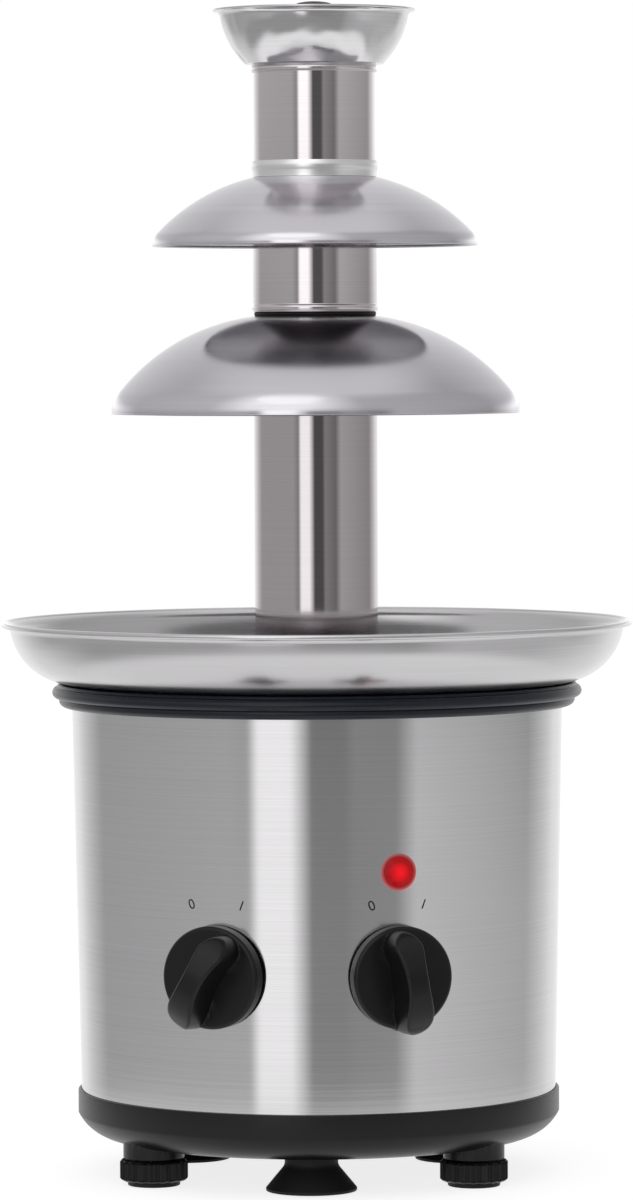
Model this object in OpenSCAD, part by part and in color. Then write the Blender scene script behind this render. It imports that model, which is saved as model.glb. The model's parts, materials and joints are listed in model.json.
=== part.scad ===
// Home chocolate fountain: a heated base with a bowl, an auger and a stack of lift-off tiers.
// Millimetres, +Z up. The front faces -Y, and the origin is on the table under the tower's axis.

/* [Base tray] */
// Height of the tray's underside above the table
foot_gap = 12; // [11:0.5:16]
// Height of the tray
tray_h = 15.5; // [14:0.5:20]
// How far the tray's lip stands out from the sleeve
tray_lip = 1.1; // [0.8:0.1:2]
// Thickness of the tray's floor
tray_floor_t = 3; // [2.5:0.1:4]
// Thickness of the tray's wall
tray_wall = 4; // [3.6:0.1:6]
// Radius of the rounding under the tray
tray_round = 14.5; // [13.5:0.5:16]
// How far the rounding reaches in from the tray's edge
tray_round_reach = 13; // [10:0.5:13]

/* [Sleeve] */
// Outer radius of the sleeve at the tray
sleeve_bottom_r = 77.2; // [75:0.2:86]
// Outer radius of the sleeve under the collar
sleeve_top_r = 79.65; // [76:0.05:90]
// Height of the sleeve between tray and collar
sleeve_h = 124.5; // [122:0.5:150]
// Thickness of the sleeve's sheet
sleeve_sheet = 0.6; // [0.5:0.1:1]
// Depth to which the sleeve's ends go into tray and collar
sleeve_seat = 3; // [2:0.5:4]

/* [Collar ring] */
// Height of the collar ring
collar_h = 7.7; // [7:0.1:10]
// Radius of the widest rib, beyond the sleeve's top
collar_reach = 6.35; // [5:0.05:9]
// How far the collar's seat reaches inwards from the sleeve's top
collar_depth = 8; // [6:0.5:10]

/* [Bowl] */
// Outer radius of the bowl's lip
bowl_r = 102.5; // [98:0.5:120]
// Height of the bowl, from its underside to the lip
bowl_h = 20.1; // [18:0.1:21]
// Outer radius of the curve from the floor into the wall
bowl_curve_r = 20.65; // [19:0.05:24]
// Thickness of the bowl's sheet
bowl_sheet = 0.8; // [0.6:0.1:1.2]
// Radius of the lip's outward roll
bowl_roll = 2.2; // [1.6:0.1:3]

/* [Tower] */
// Outer radius of the three tubes
tube_r = 20; // [18.5:0.1:22]
// Thickness of the tubes' wall
tube_wall = 0.7; // [0.5:0.1:1]
// Height of the lower tube, from the bowl's floor to its shoulder
lower_tube_h = 117.4; // [90:0.1:140]
// Height of the middle tube
middle_tube_h = 42.9; // [40:0.1:60]
// Height of the upper tube
upper_tube_h = 36.5; // [32:0.1:50]
// Length of the spigots on which the tiers slide
spigot_h = 12; // [8:0.5:16]
// Height of the beads at the tubes' ends
bead_h = 2.6; // [2:0.1:4]
// How far a bead stands out from its tube
bead_reach = 0.45; // [0.3:0.05:0.9]
// Height of the swaged band at the foot of the upper tube
band_h = 4.4; // [3:0.1:6]
// Height of the inlet notches at the foot of the lower tube
notch_h = 9; // [6:0.5:14]
// Width of the inlet notches
notch_w = 14; // [10:0.5:18]
// Number of inlet notches
notch_n = 3; // [2:1:4]

/* [Canopies and cup] */
// Thickness of the canopies' and the cup's sheet
canopy_sheet = 0.7; // [0.5:0.1:1]
// Radius of the bead at the canopies' rims
rim_bead = 0.8; // [0.6:0.1:1.2]
// Rim radius of the lower canopy
lower_canopy_r = 66.2; // [56:0.2:80]
// Drop of the lower canopy from its seat to its rim
lower_canopy_drop = 30.9; // [24:0.1:36]
// Radius at which the lower canopy is level
lower_crown_r = 12; // [8:0.5:16]
// Radius of the edge that the lower canopy turns down at its rim
lower_edge_r = 10.9; // [8:0.1:14]
// Rim radius of the upper canopy
upper_canopy_r = 52.8; // [44:0.2:64]
// Drop of the upper canopy from its seat to its rim
upper_canopy_drop = 21.6; // [18:0.2:26]
// Radius at which the upper canopy is level
upper_crown_r = 6; // [2:0.5:10]
// Radius of the edge that the upper canopy turns down at its rim
upper_edge_r = 5.3; // [4:0.1:8]
// Width of the canopies' flat seats round the tubes
canopy_seat_w = 1.6; // [1:0.1:3]
// Height of the gasket between the lower canopy and the middle tube
gasket_h = 1.3; // [1:0.1:3]
// Rim radius of the top cup
cup_r = 32.8; // [30:0.2:42]
// Height of the top cup above its tube
cup_h = 17.7; // [14:0.1:24]
// Outer radius of the curve of the top cup's wall
cup_curve_r = 30.2; // [26:0.1:40]
// Radius of the outward roll of the cup's rim
cup_roll = 2; // [1.4:0.1:2.6]

/* [Auger] */
// Gap between the auger's flight and the tubes' spigots
auger_gap = 0.8; // [0.6:0.1:2]
// Radius of the auger's core
auger_core_r = 6; // [5:0.1:8]
// Pitch of the flight
auger_pitch = 28; // [22:1:40]
// Thickness of the flight along the axis
flight_t = 2.4; // [1.8:0.1:4]
// How far the auger's tip stands above the top cup
tip_rise = 2.6; // [1:0.1:8]

/* [Drive] */
// Radius of the drive shaft
shaft_r = 4; // [3.5:0.1:4.6]
// Width across the flats of the shaft's square end
drive_square = 5.4; // [4:0.1:5.4]
// Length of the shaft's square end
drive_square_h = 14; // [10:0.5:20]
// Module of the gears
gear_module = 0.75; // [0.7:0.01:0.8]
// Teeth of the gear on the drive shaft
gear_teeth = 81; // [72:1:84]
// Teeth of the motor's pinion
pinion_teeth = 18; // [17:1:22]
// Face width of the gears
gear_w = 7; // [5:0.5:9]
// Play between the gears' teeth
backlash = 0.16; // [0.1:0.02:0.24]
// Thickness of the gear deck
deck_t = 3; // [2:0.5:4]
// Radius of the gear deck
deck_r = 56; // [52:0.5:57]
// Space between the gear deck and the heat shield
deck_drop = 30; // [28:0.5:34]
// Radius of the posts that carry the deck
post_r = 4; // [3.5:0.1:5]
// Radius of the circle on which the posts stand
post_circle_r = 46; // [44:0.5:48]

/* [Motor] */
// Radius of the motor's can
motor_r = 21; // [18:0.5:22]
// Height of the motor's can
motor_h = 43; // [34:0.5:50]
// Thickness of the can's wall
motor_wall = 1.2; // [1:0.1:2]
// Radius of the rotor's shaft
rotor_shaft_r = 2; // [1.6:0.1:2.4]

/* [Heater] */
// Radius of the heater plate
heater_r = 64; // [60:0.5:68]
// Thickness of the heater plate
heater_t = 3; // [2:0.5:4]
// Middle radius of the heating element's ring
element_r = 44; // [36:0.5:46]
// Radius of the heating element's tube
element_tube_r = 3; // [2:0.1:4]
// Depth of the heat shield below the bowl
shield_drop = 21; // [20:0.5:24]
// Thickness of the heat shield
shield_t = 1; // [0.8:0.1:1.5]
// Radius of the heat shield
shield_r = 70; // [66:0.5:70]

/* [Controls] */
// Radius of the knobs' skirts
knob_r = 16.25; // [14:0.25:18]
// Height of the knobs
knob_h = 19.5; // [17:0.5:22]
// Height of the knobs' skirts
skirt_h = 5; // [4.6:0.1:7]
// Width of the knobs' grips at their ends
grip_w = 11; // [9:0.5:13]
// Width of the knobs' grips at their middle
grip_waist = 8.4; // [7:0.2:9]
// How far a grip's tail stands out from the skirt
grip_tail = 1.8; // [0.5:0.1:3]
// Height of the knobs' axes above the tray's lip
knob_rise = 43.2; // [38:0.2:50]
// Angle of each knob from the front
knob_angle = 21.4; // [19:0.1:26]
// Turn of the motor knob, clockwise from upright
motor_knob_turn = 30; // [-45:1:45]
// Turn of the heat knob, clockwise from upright
heat_knob_turn = -10; // [-45:1:45]
// Radius of the knobs' spindles
spindle_r = 3; // [2.6:0.1:3.2]
// Height of the lamp above the knobs
lamp_rise = 33; // [28:0.5:36]
// Radius of the lamp's lens
lamp_r = 4.9; // [4:0.1:6]

/* [Cord inlet] */
// Bore radius of the cord gland
gland_bore_r = 3.5; // [3:0.1:4]
// Height of the cord gland above the tray's lip
gland_rise = 14; // [12:0.5:24]

/* [Feet] */
// Radius of the circle on which the suction cups stand
suction_circle_r = 52; // [48:0.5:56]
// Radius of the suction cups' rims
suction_r = 14.5; // [12:0.5:16]
// Radius of the suction cups' necks
suction_neck_r = 8.5; // [7:0.1:9]
// Height of the suction cups' rims above the table
suction_lift = 0.5; // [0.3:0.1:1]
// Radius of the circle on which the levelling feet stand
level_circle_r = 63; // [62:0.5:64]
// Angle of the front levelling feet from the front
level_angle = 54.5; // [50:0.5:65]
// Radius of the levelling knobs
level_r = 10.6; // [9:0.1:11.5]
// Number of flutes round a levelling knob
level_flutes = 18; // [12:1:24]
// Radius of the levelling feet's studs
stud_r = 3; // [2.5:0.1:3.5]
// Thickness of the levelling feet's pads
pad_t = 1.5; // [1:0.1:2.5]

/* [Fits] */
// Radial clearance of turning shafts
running_fit = 0.05; // [0.03:0.01:0.08]
// Clearance of pieces that slide off by hand
slip_fit = 0.12; // [0.08:0.01:0.2]
// Gap between pieces that must not touch
free_gap = 0.4; // [0.3:0.05:0.6]

/* [Hidden] */
$fn = 96;

// Colours
steel = "#b4b4b4";
bright_steel = "#cfcfcf";
black = "#26262a";
rubber = "#111111";
brass = "#b58e45";
copper = "#a8623a";
lamp_red = "#e0202c";
cream = "#e6ddc8";

// A size that helps one solid to cut cleanly through another
cut = 1;

// Levels of the base
tray_r = sleeve_bottom_r + tray_lip;
tray_top_z = foot_gap + tray_h;
tray_floor_z = foot_gap + tray_floor_t;
sleeve_top_z = tray_top_z + sleeve_h;
sleeve_slope = (sleeve_top_r - sleeve_bottom_r) / sleeve_h;
collar_top_z = sleeve_top_z + collar_h;

// Levels and radii of the bowl
collar_lip = 0.3;
bowl_z = collar_top_z - collar_lip;
bowl_floor_z = bowl_z + bowl_sheet;
bowl_lip_t = bowl_sheet + 1;
bowl_rim_z = bowl_z + bowl_h;
bowl_roll_z = bowl_rim_z - bowl_lip_t / 2 - bowl_sheet / 2 - bowl_roll;
bowl_roll_r = bowl_r - bowl_lip_t / 2;
bowl_wall_top_r = bowl_roll_r - bowl_roll;
bowl_curve_z = bowl_z + bowl_curve_r;
bowl_curve_c = bowl_wall_top_r - sqrt(pow(bowl_curve_r, 2) - pow(bowl_curve_z - bowl_roll_z, 2));

// Levels and radii of the tower
tube_bore_r = tube_r - tube_wall;
spigot_r = tube_bore_r - slip_fit;
spigot_bore_r = spigot_r - tube_wall + slip_fit;
lower_seat_z = bowl_floor_z + lower_tube_h;
lower_canopy_z = lower_seat_z + canopy_sheet;
middle_tube_z = lower_canopy_z + gasket_h;
middle_seat_z = middle_tube_z + middle_tube_h;
upper_tube_z = middle_seat_z + canopy_sheet;
upper_seat_z = upper_tube_z + upper_tube_h;
cup_rim_z = upper_seat_z + cup_h;
seat_hole_r = spigot_r + slip_fit;

// The bowl's hub and what it carries
hub_flange_t = 2;
hub_flange_r = tube_bore_r - free_gap;
hub_chimney_wall = 3;
hub_chimney_r = shaft_r + hub_chimney_wall;
hub_chimney_h = 5.8;
hub_chimney_z = bowl_floor_z + hub_chimney_h;
hub_neck_wall = 2;
hub_neck_r = hub_chimney_r + hub_neck_wall;
seal_wall = 3.5;
seal_r = shaft_r + seal_wall;
seal_h = 5;
nut_h = 6;
nut_wall = 4.5;
nut_r = hub_neck_r + nut_wall;
heater_z = bowl_z - heater_t;
hub_tail = 4;
hub_bottom_z = heater_z - nut_h - hub_tail;

// The auger and the shaft's square end
auger_r = spigot_bore_r - auger_gap;
auger_z = hub_chimney_z + free_gap;
auger_tip_z = cup_rim_z + tip_rise;
tip_step = 0.5;
tip_r = auger_core_r - tip_step;
tip_h = 7;
flight_inset = 1;
flight_z = auger_z + flight_inset;
flight_top_z = upper_seat_z - flight_inset;
flight_h = flight_top_z - flight_z;
flight_angle = 360 * flight_t / auger_pitch;
flight_steps = 30;
flight_arc = 4;

// Levels of the drive
shield_z = bowl_z - shield_drop;
deck_top_z = shield_z - deck_drop;
deck_z = deck_top_z - deck_t;
bush_wall = 3;
bush_r = shaft_r + bush_wall;
bush_rim = 3;
bush_flange_r = bush_r + bush_rim;
bush_flange_t = 1.5;
bush_h = 10;
gear_hub_z = deck_top_z + bush_flange_t;
gear_z = gear_hub_z + 2.5;
gear_hub_wall = 5;
gear_hub_r = shaft_r + gear_hub_wall;
clip_t = 1.2;
clip_z = deck_top_z - bush_h - clip_t;
shaft_z = clip_z - 2;
pressure_angle = 20;
gear_pitch_r = gear_module * gear_teeth / 2;
pinion_pitch_r = gear_module * pinion_teeth / 2;
gear_distance = gear_pitch_r + pinion_pitch_r;
post_angles = [45, 135, 215, 325];

// The motor, which hangs under the deck behind the shaft
motor_z = deck_z - motor_h;
motor_cap_t = 2;
motor_bore_r = motor_r - motor_wall;
motor_boss_r = rotor_shaft_r + 3;
magnet_t = 4;
magnet_gap = 2;
armature_r = motor_bore_r - magnet_t - 1;
armature_inset = 8;
rotor_end = 2;
motor_screw_r = 1.5;
motor_screw_x = motor_r * 0.6;

// The heater's and shield's fasteners
stud_circle_r = 54;
stud_angles = [30, 150, 270];
bowl_stud_r = 2;
small_nut_h = 3.2;
small_nut_r = 4;

// The base's fasteners
screw_r = 2;
screw_head_r = 3.6;
screw_head_h = 2.2;
screw_grip = 12;

// The controls
knob_z = tray_top_z + knob_rise;
lamp_z = knob_z + lamp_rise;
gland_z = tray_top_z + gland_rise;
bushing_r = spindle_r + 2;
knob_foot_r = sleeve_reach(knob_z, knob_r) + free_gap;
switch_face_r = sleeve_r(knob_z) - sleeve_sheet - 1.2;
switch_w = 26;
switch_h = 22;
switch_t = 14;
tab_w = 4;
tab_t = 0.8;
tab_h = 6;
panel_nut_t = 1.8;
panel_nut_r = bushing_r + 3;
panel_nut_foot_r = sleeve_reach(knob_z, panel_nut_r) + slip_fit;
lamp_bezel_r = lamp_r + 1;
lamp_foot_r = sleeve_reach(lamp_z, lamp_bezel_r) + slip_fit;
gland_foot_r = sleeve_reach(gland_z, gland_flange_r()) + slip_fit;
spindle_in = 8;
spindle_out = 10;
knob_recess_h = 3;
knob_recess_r = panel_nut_r + 1;
grip_flank_r = 40;

// The feet, at angles about +Z
suction_angles = [30, 150, 270];
level_angles = [270 - level_angle, 270 + level_angle, 90];
insert_r = stud_r + 2;
insert_h = 11;
insert_top_z = tray_floor_z + insert_h;
level_boss_step = 0.8;
level_boss_r = level_r - level_boss_step;
level_boss_h = 3;
level_boss_rise = 1;
level_top_z = foot_gap - level_boss_h - free_gap;
level_flute_r = 1.1;
stud_drop = 4;
stud_top_z = insert_top_z - stud_drop;
plug_r = 5;
plug_head_r = 7;
plug_head_h = 2;

// Outer radius of the sleeve at a height
function sleeve_r(z) = sleeve_bottom_r + (z - tray_top_z) * sleeve_slope;

// Radius that clears the sleeve from a height down and up by a reach
function sleeve_reach(z, reach) = max(sleeve_r(z - reach), sleeve_r(z + reach));

// A tube or a washer on the tower's axis
module ring(outer, inner, z, h) {
  translate([0, 0, z])
    difference() {
      cylinder(r = outer, h = h);
      translate([0, 0, -cut])
        cylinder(r = inner, h = h + 2 * cut);
    }
}

// A cylinder from one height up to another
module rod(r, z, top) {
  translate([0, 0, z])
    cylinder(r = r, h = top - z);
}

// Children placed at angles on a circle
module on_circle(angles, r) {
  for (a = angles)
    rotate([0, 0, a])
      translate([r, 0, 0])
        children();
}

// Children whose +Z points out of the housing, at an angle from the front and at a height
module facing(angle, z, r) {
  translate([0, 0, z])
    rotate([0, 0, angle])
      rotate([90, 0, 0])
        translate([0, 0, r])
          children();
}

// A quarter of a flat ring that turns a wall, rising at radius -r, outwards
module roll_outline(r, t) {
  intersection() {
    difference() {
      circle(r = r + t);
      circle(r = r);
    }
    translate([-r - t, 0])
      square([r + t, r + t]);
  }
}

// The tower

// A tube with a spigot above its shoulder, on which the next tier slides
module stepped_tube(z, seat_z) {
  rotate_extrude()
    polygon([
      [tube_bore_r, z],
      [tube_r, z],
      [tube_r, seat_z],
      [spigot_r, seat_z],
      [spigot_r, seat_z + spigot_h],
      [spigot_bore_r, seat_z + spigot_h],
      [spigot_bore_r, seat_z - tube_wall],
      [tube_bore_r, seat_z - tube_wall]
    ]);
}

// A rounded bead round a tube
module bead(z, h) {
  rotate_extrude()
    intersection() {
      translate([tube_bore_r, z])
        square([tube_wall + bead_reach, h]);
      translate([tube_r + bead_reach - h, z + h / 2])
        circle(r = h);
    }
}

// Depth below its rim of the centre of a dome that starts at near, ends in an edge at far and is drop high
function dome_depth(near, far, drop, edge_r) =
  let (
    k = pow(near, 2) + pow(drop, 2) + pow(edge_r, 2) - pow(far, 2),
    a = 4 * (pow(drop, 2) - pow(edge_r, 2)),
    b = 4 * drop * (k - 2 * pow(edge_r, 2)),
    c = pow(k, 2) - 4 * pow(edge_r, 2) * (pow(near, 2) + pow(drop, 2))
  )
  (sqrt(pow(b, 2) - 4 * a * c) - b) / (2 * a);

// A domed canopy: an arc from its seat round the tube, an edge turned down to upright, and a beaded rim
module canopy(seat_z, rim_r, drop, crown_r, edge_r) {
  top_z = seat_z + canopy_sheet;
  rim_z = top_z - drop;
  far = rim_r - edge_r - crown_r;
  depth = dome_depth(tube_r - crown_r, far, drop, edge_r);
  dome_r = edge_r + sqrt(pow(far, 2) + pow(depth, 2));
  slope = depth / far;
  reach = rim_r + cut - crown_r;
  rotate_extrude() {
    intersection() {
      translate([crown_r, rim_z - depth])
        difference() {
          circle(r = dome_r, $fn = 180);
          circle(r = dome_r - canopy_sheet, $fn = 180);
        }
      translate([crown_r, rim_z - depth])
        polygon([[tube_r - crown_r, (tube_r - crown_r) * slope], [reach, reach * slope],
                 [reach, depth + drop + reach * slope], [tube_r - crown_r, depth + drop + reach * slope]]);
    }
    translate([rim_r - edge_r, rim_z])
      intersection() {
        difference() {
          circle(r = edge_r, $fn = 120);
          circle(r = edge_r - canopy_sheet, $fn = 120);
        }
        polygon([[0, 0], [edge_r + cut, 0], [edge_r + cut, (edge_r + cut) * slope]]);
      }
    translate([seat_hole_r, seat_z])
      square([tube_r + canopy_seat_w - seat_hole_r, canopy_sheet]);
    translate([rim_r - rim_bead, rim_z])
      circle(r = rim_bead);
  }
}

module top_cup() {
  roll_z = cup_rim_z - canopy_sheet - cup_roll;
  wall_r = cup_r - cup_roll - canopy_sheet / 2;
  curve_z = upper_seat_z + cup_curve_r * 0.7;
  curve_c = wall_r - sqrt(pow(cup_curve_r, 2) - pow(curve_z - roll_z, 2));
  floor_r = curve_c + sqrt(pow(cup_curve_r, 2) - pow(curve_z - upper_seat_z, 2));
  color(bright_steel)
    rotate_extrude() {
      intersection() {
        translate([curve_c, curve_z])
          difference() {
            circle(r = cup_curve_r, $fn = 180);
            circle(r = cup_curve_r - canopy_sheet, $fn = 180);
          }
        translate([spigot_bore_r, upper_seat_z])
          square([cup_r, roll_z - upper_seat_z]);
      }
      translate([cup_r - canopy_sheet / 2, roll_z])
        roll_outline(cup_roll, canopy_sheet);
      translate([cup_r - canopy_sheet / 2, cup_rim_z - canopy_sheet / 2])
        circle(r = canopy_sheet / 2);
      translate([spigot_bore_r, upper_seat_z])
        square([floor_r - spigot_bore_r, canopy_sheet]);
      translate([spigot_bore_r, upper_seat_z - spigot_h])
        square([spigot_r - spigot_bore_r, spigot_h + canopy_sheet]);
    }
}

module upper_tube() {
  color(bright_steel) {
    ring(tube_r, tube_bore_r, upper_tube_z, upper_tube_h);
    bead(upper_tube_z + bead_h / 2, band_h);
    bead(upper_seat_z - bead_h - bead_reach, bead_h);
  }
}

module upper_canopy() {
  color(steel)
    canopy(middle_seat_z, upper_canopy_r, upper_canopy_drop, upper_crown_r, upper_edge_r);
}

module middle_tube() {
  color(bright_steel) {
    stepped_tube(middle_tube_z, middle_seat_z);
    bead(middle_tube_z, bead_h);
  }
}

module tier_gasket() {
  color(rubber)
    ring(tube_r - bead_reach / 2, seat_hole_r, lower_canopy_z, gasket_h);
}

module lower_canopy() {
  color(steel)
    canopy(lower_seat_z, lower_canopy_r, lower_canopy_drop, lower_crown_r, lower_edge_r);
}

module lower_tube() {
  color(bright_steel)
    difference() {
      stepped_tube(bowl_floor_z, lower_seat_z);
      for (i = [0 : notch_n - 1])
        rotate([0, 0, 360 * i / notch_n])
          translate([0, -notch_w / 2, bowl_floor_z - cut])
            cube([tube_r + cut, notch_w, notch_h + cut]);
    }
}

// Half of the auger's core, with its rounded tip
module core_outline() {
  translate([0, auger_z])
    square([auger_core_r, auger_tip_z - tip_h - auger_z]);
  intersection() {
    translate([0, auger_tip_z - tip_h - cut])
      square([tip_r, tip_h + cut]);
    translate([0, auger_tip_z - tip_r * 1.5])
      circle(r = tip_r * 1.5);
  }
}

// A sector of the flight, as seen along the axis
module flight_outline() {
  inner_r = auger_core_r - 1;
  outer = [for (i = [0 : flight_arc]) auger_r * [cos(flight_angle * i / flight_arc),
    sin(flight_angle * i / flight_arc)]];
  inner = [for (i = [1, 0]) inner_r * [cos(flight_angle * i), sin(flight_angle * i)]];
  polygon(concat(outer, inner));
}

module auger() {
  socket = drive_square + 2 * slip_fit;
  color(black)
    difference() {
      union() {
        rotate_extrude()
          core_outline();
        translate([0, 0, flight_z])
          linear_extrude(height = flight_h, twist = -360 * flight_h / auger_pitch,
              slices = round(flight_steps * flight_h / auger_pitch), $fn = flight_arc)
            flight_outline();
      }
      translate([-socket / 2, -socket / 2, auger_z - cut])
        cube([socket, socket, drive_square_h + free_gap + cut]);
    }
}

// The bowl and its hub

module bowl() {
  color(steel)
    difference() {
      rotate_extrude() {
        intersection() {
          translate([bowl_curve_c, bowl_curve_z])
            difference() {
              circle(r = bowl_curve_r, $fn = 180);
              circle(r = bowl_curve_r - bowl_sheet, $fn = 180);
            }
          translate([bowl_curve_c, bowl_z])
            square([bowl_r, bowl_roll_z - bowl_z]);
        }
        translate([0, bowl_z])
          square([bowl_curve_c, bowl_sheet]);
        translate([bowl_roll_r, bowl_roll_z])
          roll_outline(bowl_roll, bowl_sheet);
        translate([bowl_roll_r, bowl_rim_z - bowl_lip_t / 2])
          circle(r = bowl_lip_t / 2);
      }
      rod(hub_neck_r, bowl_z - cut, bowl_floor_z + cut);
    }
}

module bowl_hub() {
  color(brass)
    difference() {
      union() {
        rod(hub_neck_r, hub_bottom_z, bowl_floor_z);
        rod(hub_flange_r, bowl_floor_z, bowl_floor_z + hub_flange_t);
        rod(hub_chimney_r, bowl_floor_z, hub_chimney_z);
      }
      rod(shaft_r + running_fit, hub_bottom_z - cut, hub_chimney_z + cut);
      rod(seal_r, hub_bottom_z - cut, hub_bottom_z + seal_h);
    }
}

module hub_nut() {
  color(brass)
    difference() {
      translate([0, 0, heater_z - nut_h])
        cylinder(r = nut_r, h = nut_h, $fn = 6);
      rod(hub_neck_r, heater_z - nut_h - cut, heater_z + cut);
    }
}

module shaft_seal() {
  color(rubber)
    ring(seal_r, shaft_r + running_fit, hub_bottom_z, seal_h);
}

module bowl_studs() {
  color(steel)
    on_circle(stud_angles, stud_circle_r)
      rod(bowl_stud_r, shield_z - small_nut_h - 1, bowl_z);
}

module stud_nuts() {
  color(steel)
    on_circle(stud_angles, stud_circle_r)
      difference() {
        translate([0, 0, shield_z - small_nut_h])
          cylinder(r = small_nut_r, h = small_nut_h, $fn = 6);
        rod(bowl_stud_r, shield_z - small_nut_h - cut, shield_z + cut);
      }
}

module collar_ring() {
  inner_r = sleeve_top_r - collar_depth;
  body_r = sleeve_top_r + collar_reach / 2;
  rib_r = collar_h / 4;
  lower_rib_z = sleeve_top_z + rib_r;
  upper_rib_r = collar_h / 6;
  upper_rib_z = collar_top_z - upper_rib_r - collar_lip / 2;
  color(black)
    difference() {
      rotate_extrude() {
        translate([inner_r, sleeve_top_z])
          square([bowl_curve_c - inner_r, bowl_z - sleeve_top_z]);
        translate([inner_r, sleeve_top_z])
          square([body_r - inner_r, collar_h - 2 * collar_lip]);
        translate([body_r - rib_r / 2, lower_rib_z])
          circle(r = rib_r);
        translate([sleeve_top_r + collar_reach - rib_r, sleeve_top_z + collar_h * 0.6])
          circle(r = rib_r);
        translate([sleeve_top_r + collar_reach * 0.76 - upper_rib_r, upper_rib_z])
          circle(r = upper_rib_r);
      }
      sleeve_solid(slip_fit);
      ring(bowl_r, sleeve_top_r - sleeve_sheet + collar_reach / 4, sleeve_top_z - collar_h, collar_h);
    }
}

// The heater

module heater_plate() {
  color(bright_steel)
    difference() {
      ring(heater_r, hub_neck_r, heater_z, heater_t);
      on_circle(stud_angles, stud_circle_r)
        rod(bowl_stud_r, heater_z - cut, bowl_z + cut);
    }
}

module heater_element() {
  color(copper)
    rotate_extrude()
      difference() {
        translate([element_r, heater_z - element_tube_r + free_gap])
          circle(r = element_tube_r);
        translate([0, heater_z])
          square([heater_r, element_tube_r]);
      }
}

module thermostat() {
  body_r = 7;
  body_h = 7;
  flange_w = 20;
  flange_t = 1;
  color(cream)
    translate([0, -element_r * 0.57, 0]) {
      rod(body_r, heater_z - flange_t - body_h, heater_z - flange_t);
      translate([-flange_w / 2, -body_r / 2, heater_z - flange_t])
        cube([flange_w, body_r, flange_t]);
      for (side = [-1, 1])
        translate([side * body_r / 2 - tab_w / 2, -tab_t / 2, heater_z - flange_t - body_h - tab_h])
          cube([tab_w, tab_t, tab_h]);
    }
}

module thermal_fuse() {
  fuse_r = 2;
  fuse_l = 12;
  color(bright_steel)
    translate([-fuse_l / 2, element_r * 0.57, heater_z - fuse_r])
      intersection() {
        rotate([0, 90, 0])
          cylinder(r = fuse_r * 1.2, h = fuse_l);
        translate([-cut, -fuse_r, -fuse_r])
          cube([fuse_l + 2 * cut, 2 * fuse_r, 2 * fuse_r]);
      }
}

module heat_shield() {
  color(bright_steel)
    difference() {
      ring(shield_r, hub_neck_r + 3, shield_z, shield_t);
      on_circle(stud_angles, stud_circle_r)
        rod(bowl_stud_r, shield_z - cut, shield_z + shield_t + cut);
    }
}

// The drive

// Involute of an angle, in degrees
function involute(a) = tan(a) * 180 / PI - a;

// Outline of a gear, with a tooth centred on +X
function gear_points(teeth) =
  let (
    pitch_r = gear_module * teeth / 2,
    base_r = pitch_r * cos(pressure_angle),
    tip_r = pitch_r + gear_module,
    root_r = pitch_r - 1.25 * gear_module,
    start_r = max(base_r, root_r),
    half = 90 / teeth - backlash / 4 / pitch_r * 180 / PI + involute(pressure_angle),
    steps = 3,
    radii = [for (i = [0 : steps]) start_r + (tip_r - start_r) * i / steps],
    spread = [for (r = radii) half - involute(acos(base_r / r))],
    foot = base_r > root_r ? [root_r] : []
  )
  [for (t = [0 : teeth - 1]) each concat(
    [for (r = foot) polar(r, 360 * t / teeth - spread[0])],
    [for (i = [0 : steps]) polar(radii[i], 360 * t / teeth - spread[i])],
    [for (i = [steps : -1 : 0]) polar(radii[i], 360 * t / teeth + spread[i])],
    [for (r = foot) polar(r, 360 * t / teeth + spread[0])]
  )];

// A point at a radius and an angle
function polar(r, a) = [r * cos(a), r * sin(a)];

module drive_shaft() {
  square_z = hub_chimney_z + free_gap;
  color(bright_steel) {
    rod(shaft_r, shaft_z, square_z);
    translate([-drive_square / 2, -drive_square / 2, square_z])
      cube([drive_square, drive_square, drive_square_h]);
  }
}

module shaft_clip() {
  color(steel)
    ring(bush_r, shaft_r, clip_z, clip_t);
}

module drive_gear() {
  color(cream)
    difference() {
      union() {
        translate([0, 0, gear_z])
          rotate([0, 0, 90])
            linear_extrude(height = gear_w)
              polygon(gear_points(gear_teeth));
        rod(gear_hub_r, gear_hub_z, gear_z + gear_w);
      }
      rod(shaft_r, gear_hub_z - cut, gear_z + gear_w + cut);
    }
}

module deck_bush() {
  color(brass)
    difference() {
      union() {
        rod(bush_r, deck_top_z - bush_h, deck_top_z);
        rod(bush_flange_r, deck_top_z, deck_top_z + bush_flange_t);
      }
      rod(shaft_r + running_fit, deck_top_z - bush_h - cut, deck_top_z + bush_flange_t + cut);
    }
}

module gear_deck() {
  color(steel)
    difference() {
      rod(deck_r, deck_z, deck_top_z);
      rod(bush_r, deck_z - cut, deck_top_z + cut);
      translate([0, gear_distance, 0]) {
        rod(motor_boss_r, deck_z - cut, deck_top_z + cut);
        for (side = [-1, 1])
          translate([side * motor_screw_x, 0, 0])
            rod(motor_screw_r, deck_z - cut, deck_top_z + cut);
      }
    }
}

module deck_posts() {
  color(steel)
    on_circle(post_angles, post_circle_r)
      rod(post_r, deck_top_z, shield_z);
}

module motor_can() {
  color(steel)
    translate([0, gear_distance, 0])
      difference() {
        union() {
          rod(motor_r, motor_z, deck_z);
          rod(motor_boss_r, deck_z, deck_top_z);
        }
        rod(motor_bore_r, motor_z - cut, deck_z - 2 * motor_wall);
        rod(rotor_shaft_r + running_fit, motor_z, deck_top_z + cut);
        for (side = [-1, 1])
          translate([side * motor_screw_x, 0, 0])
            rod(motor_screw_r, deck_z - 2 * motor_wall - cut, deck_z + cut);
      }
}

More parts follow.
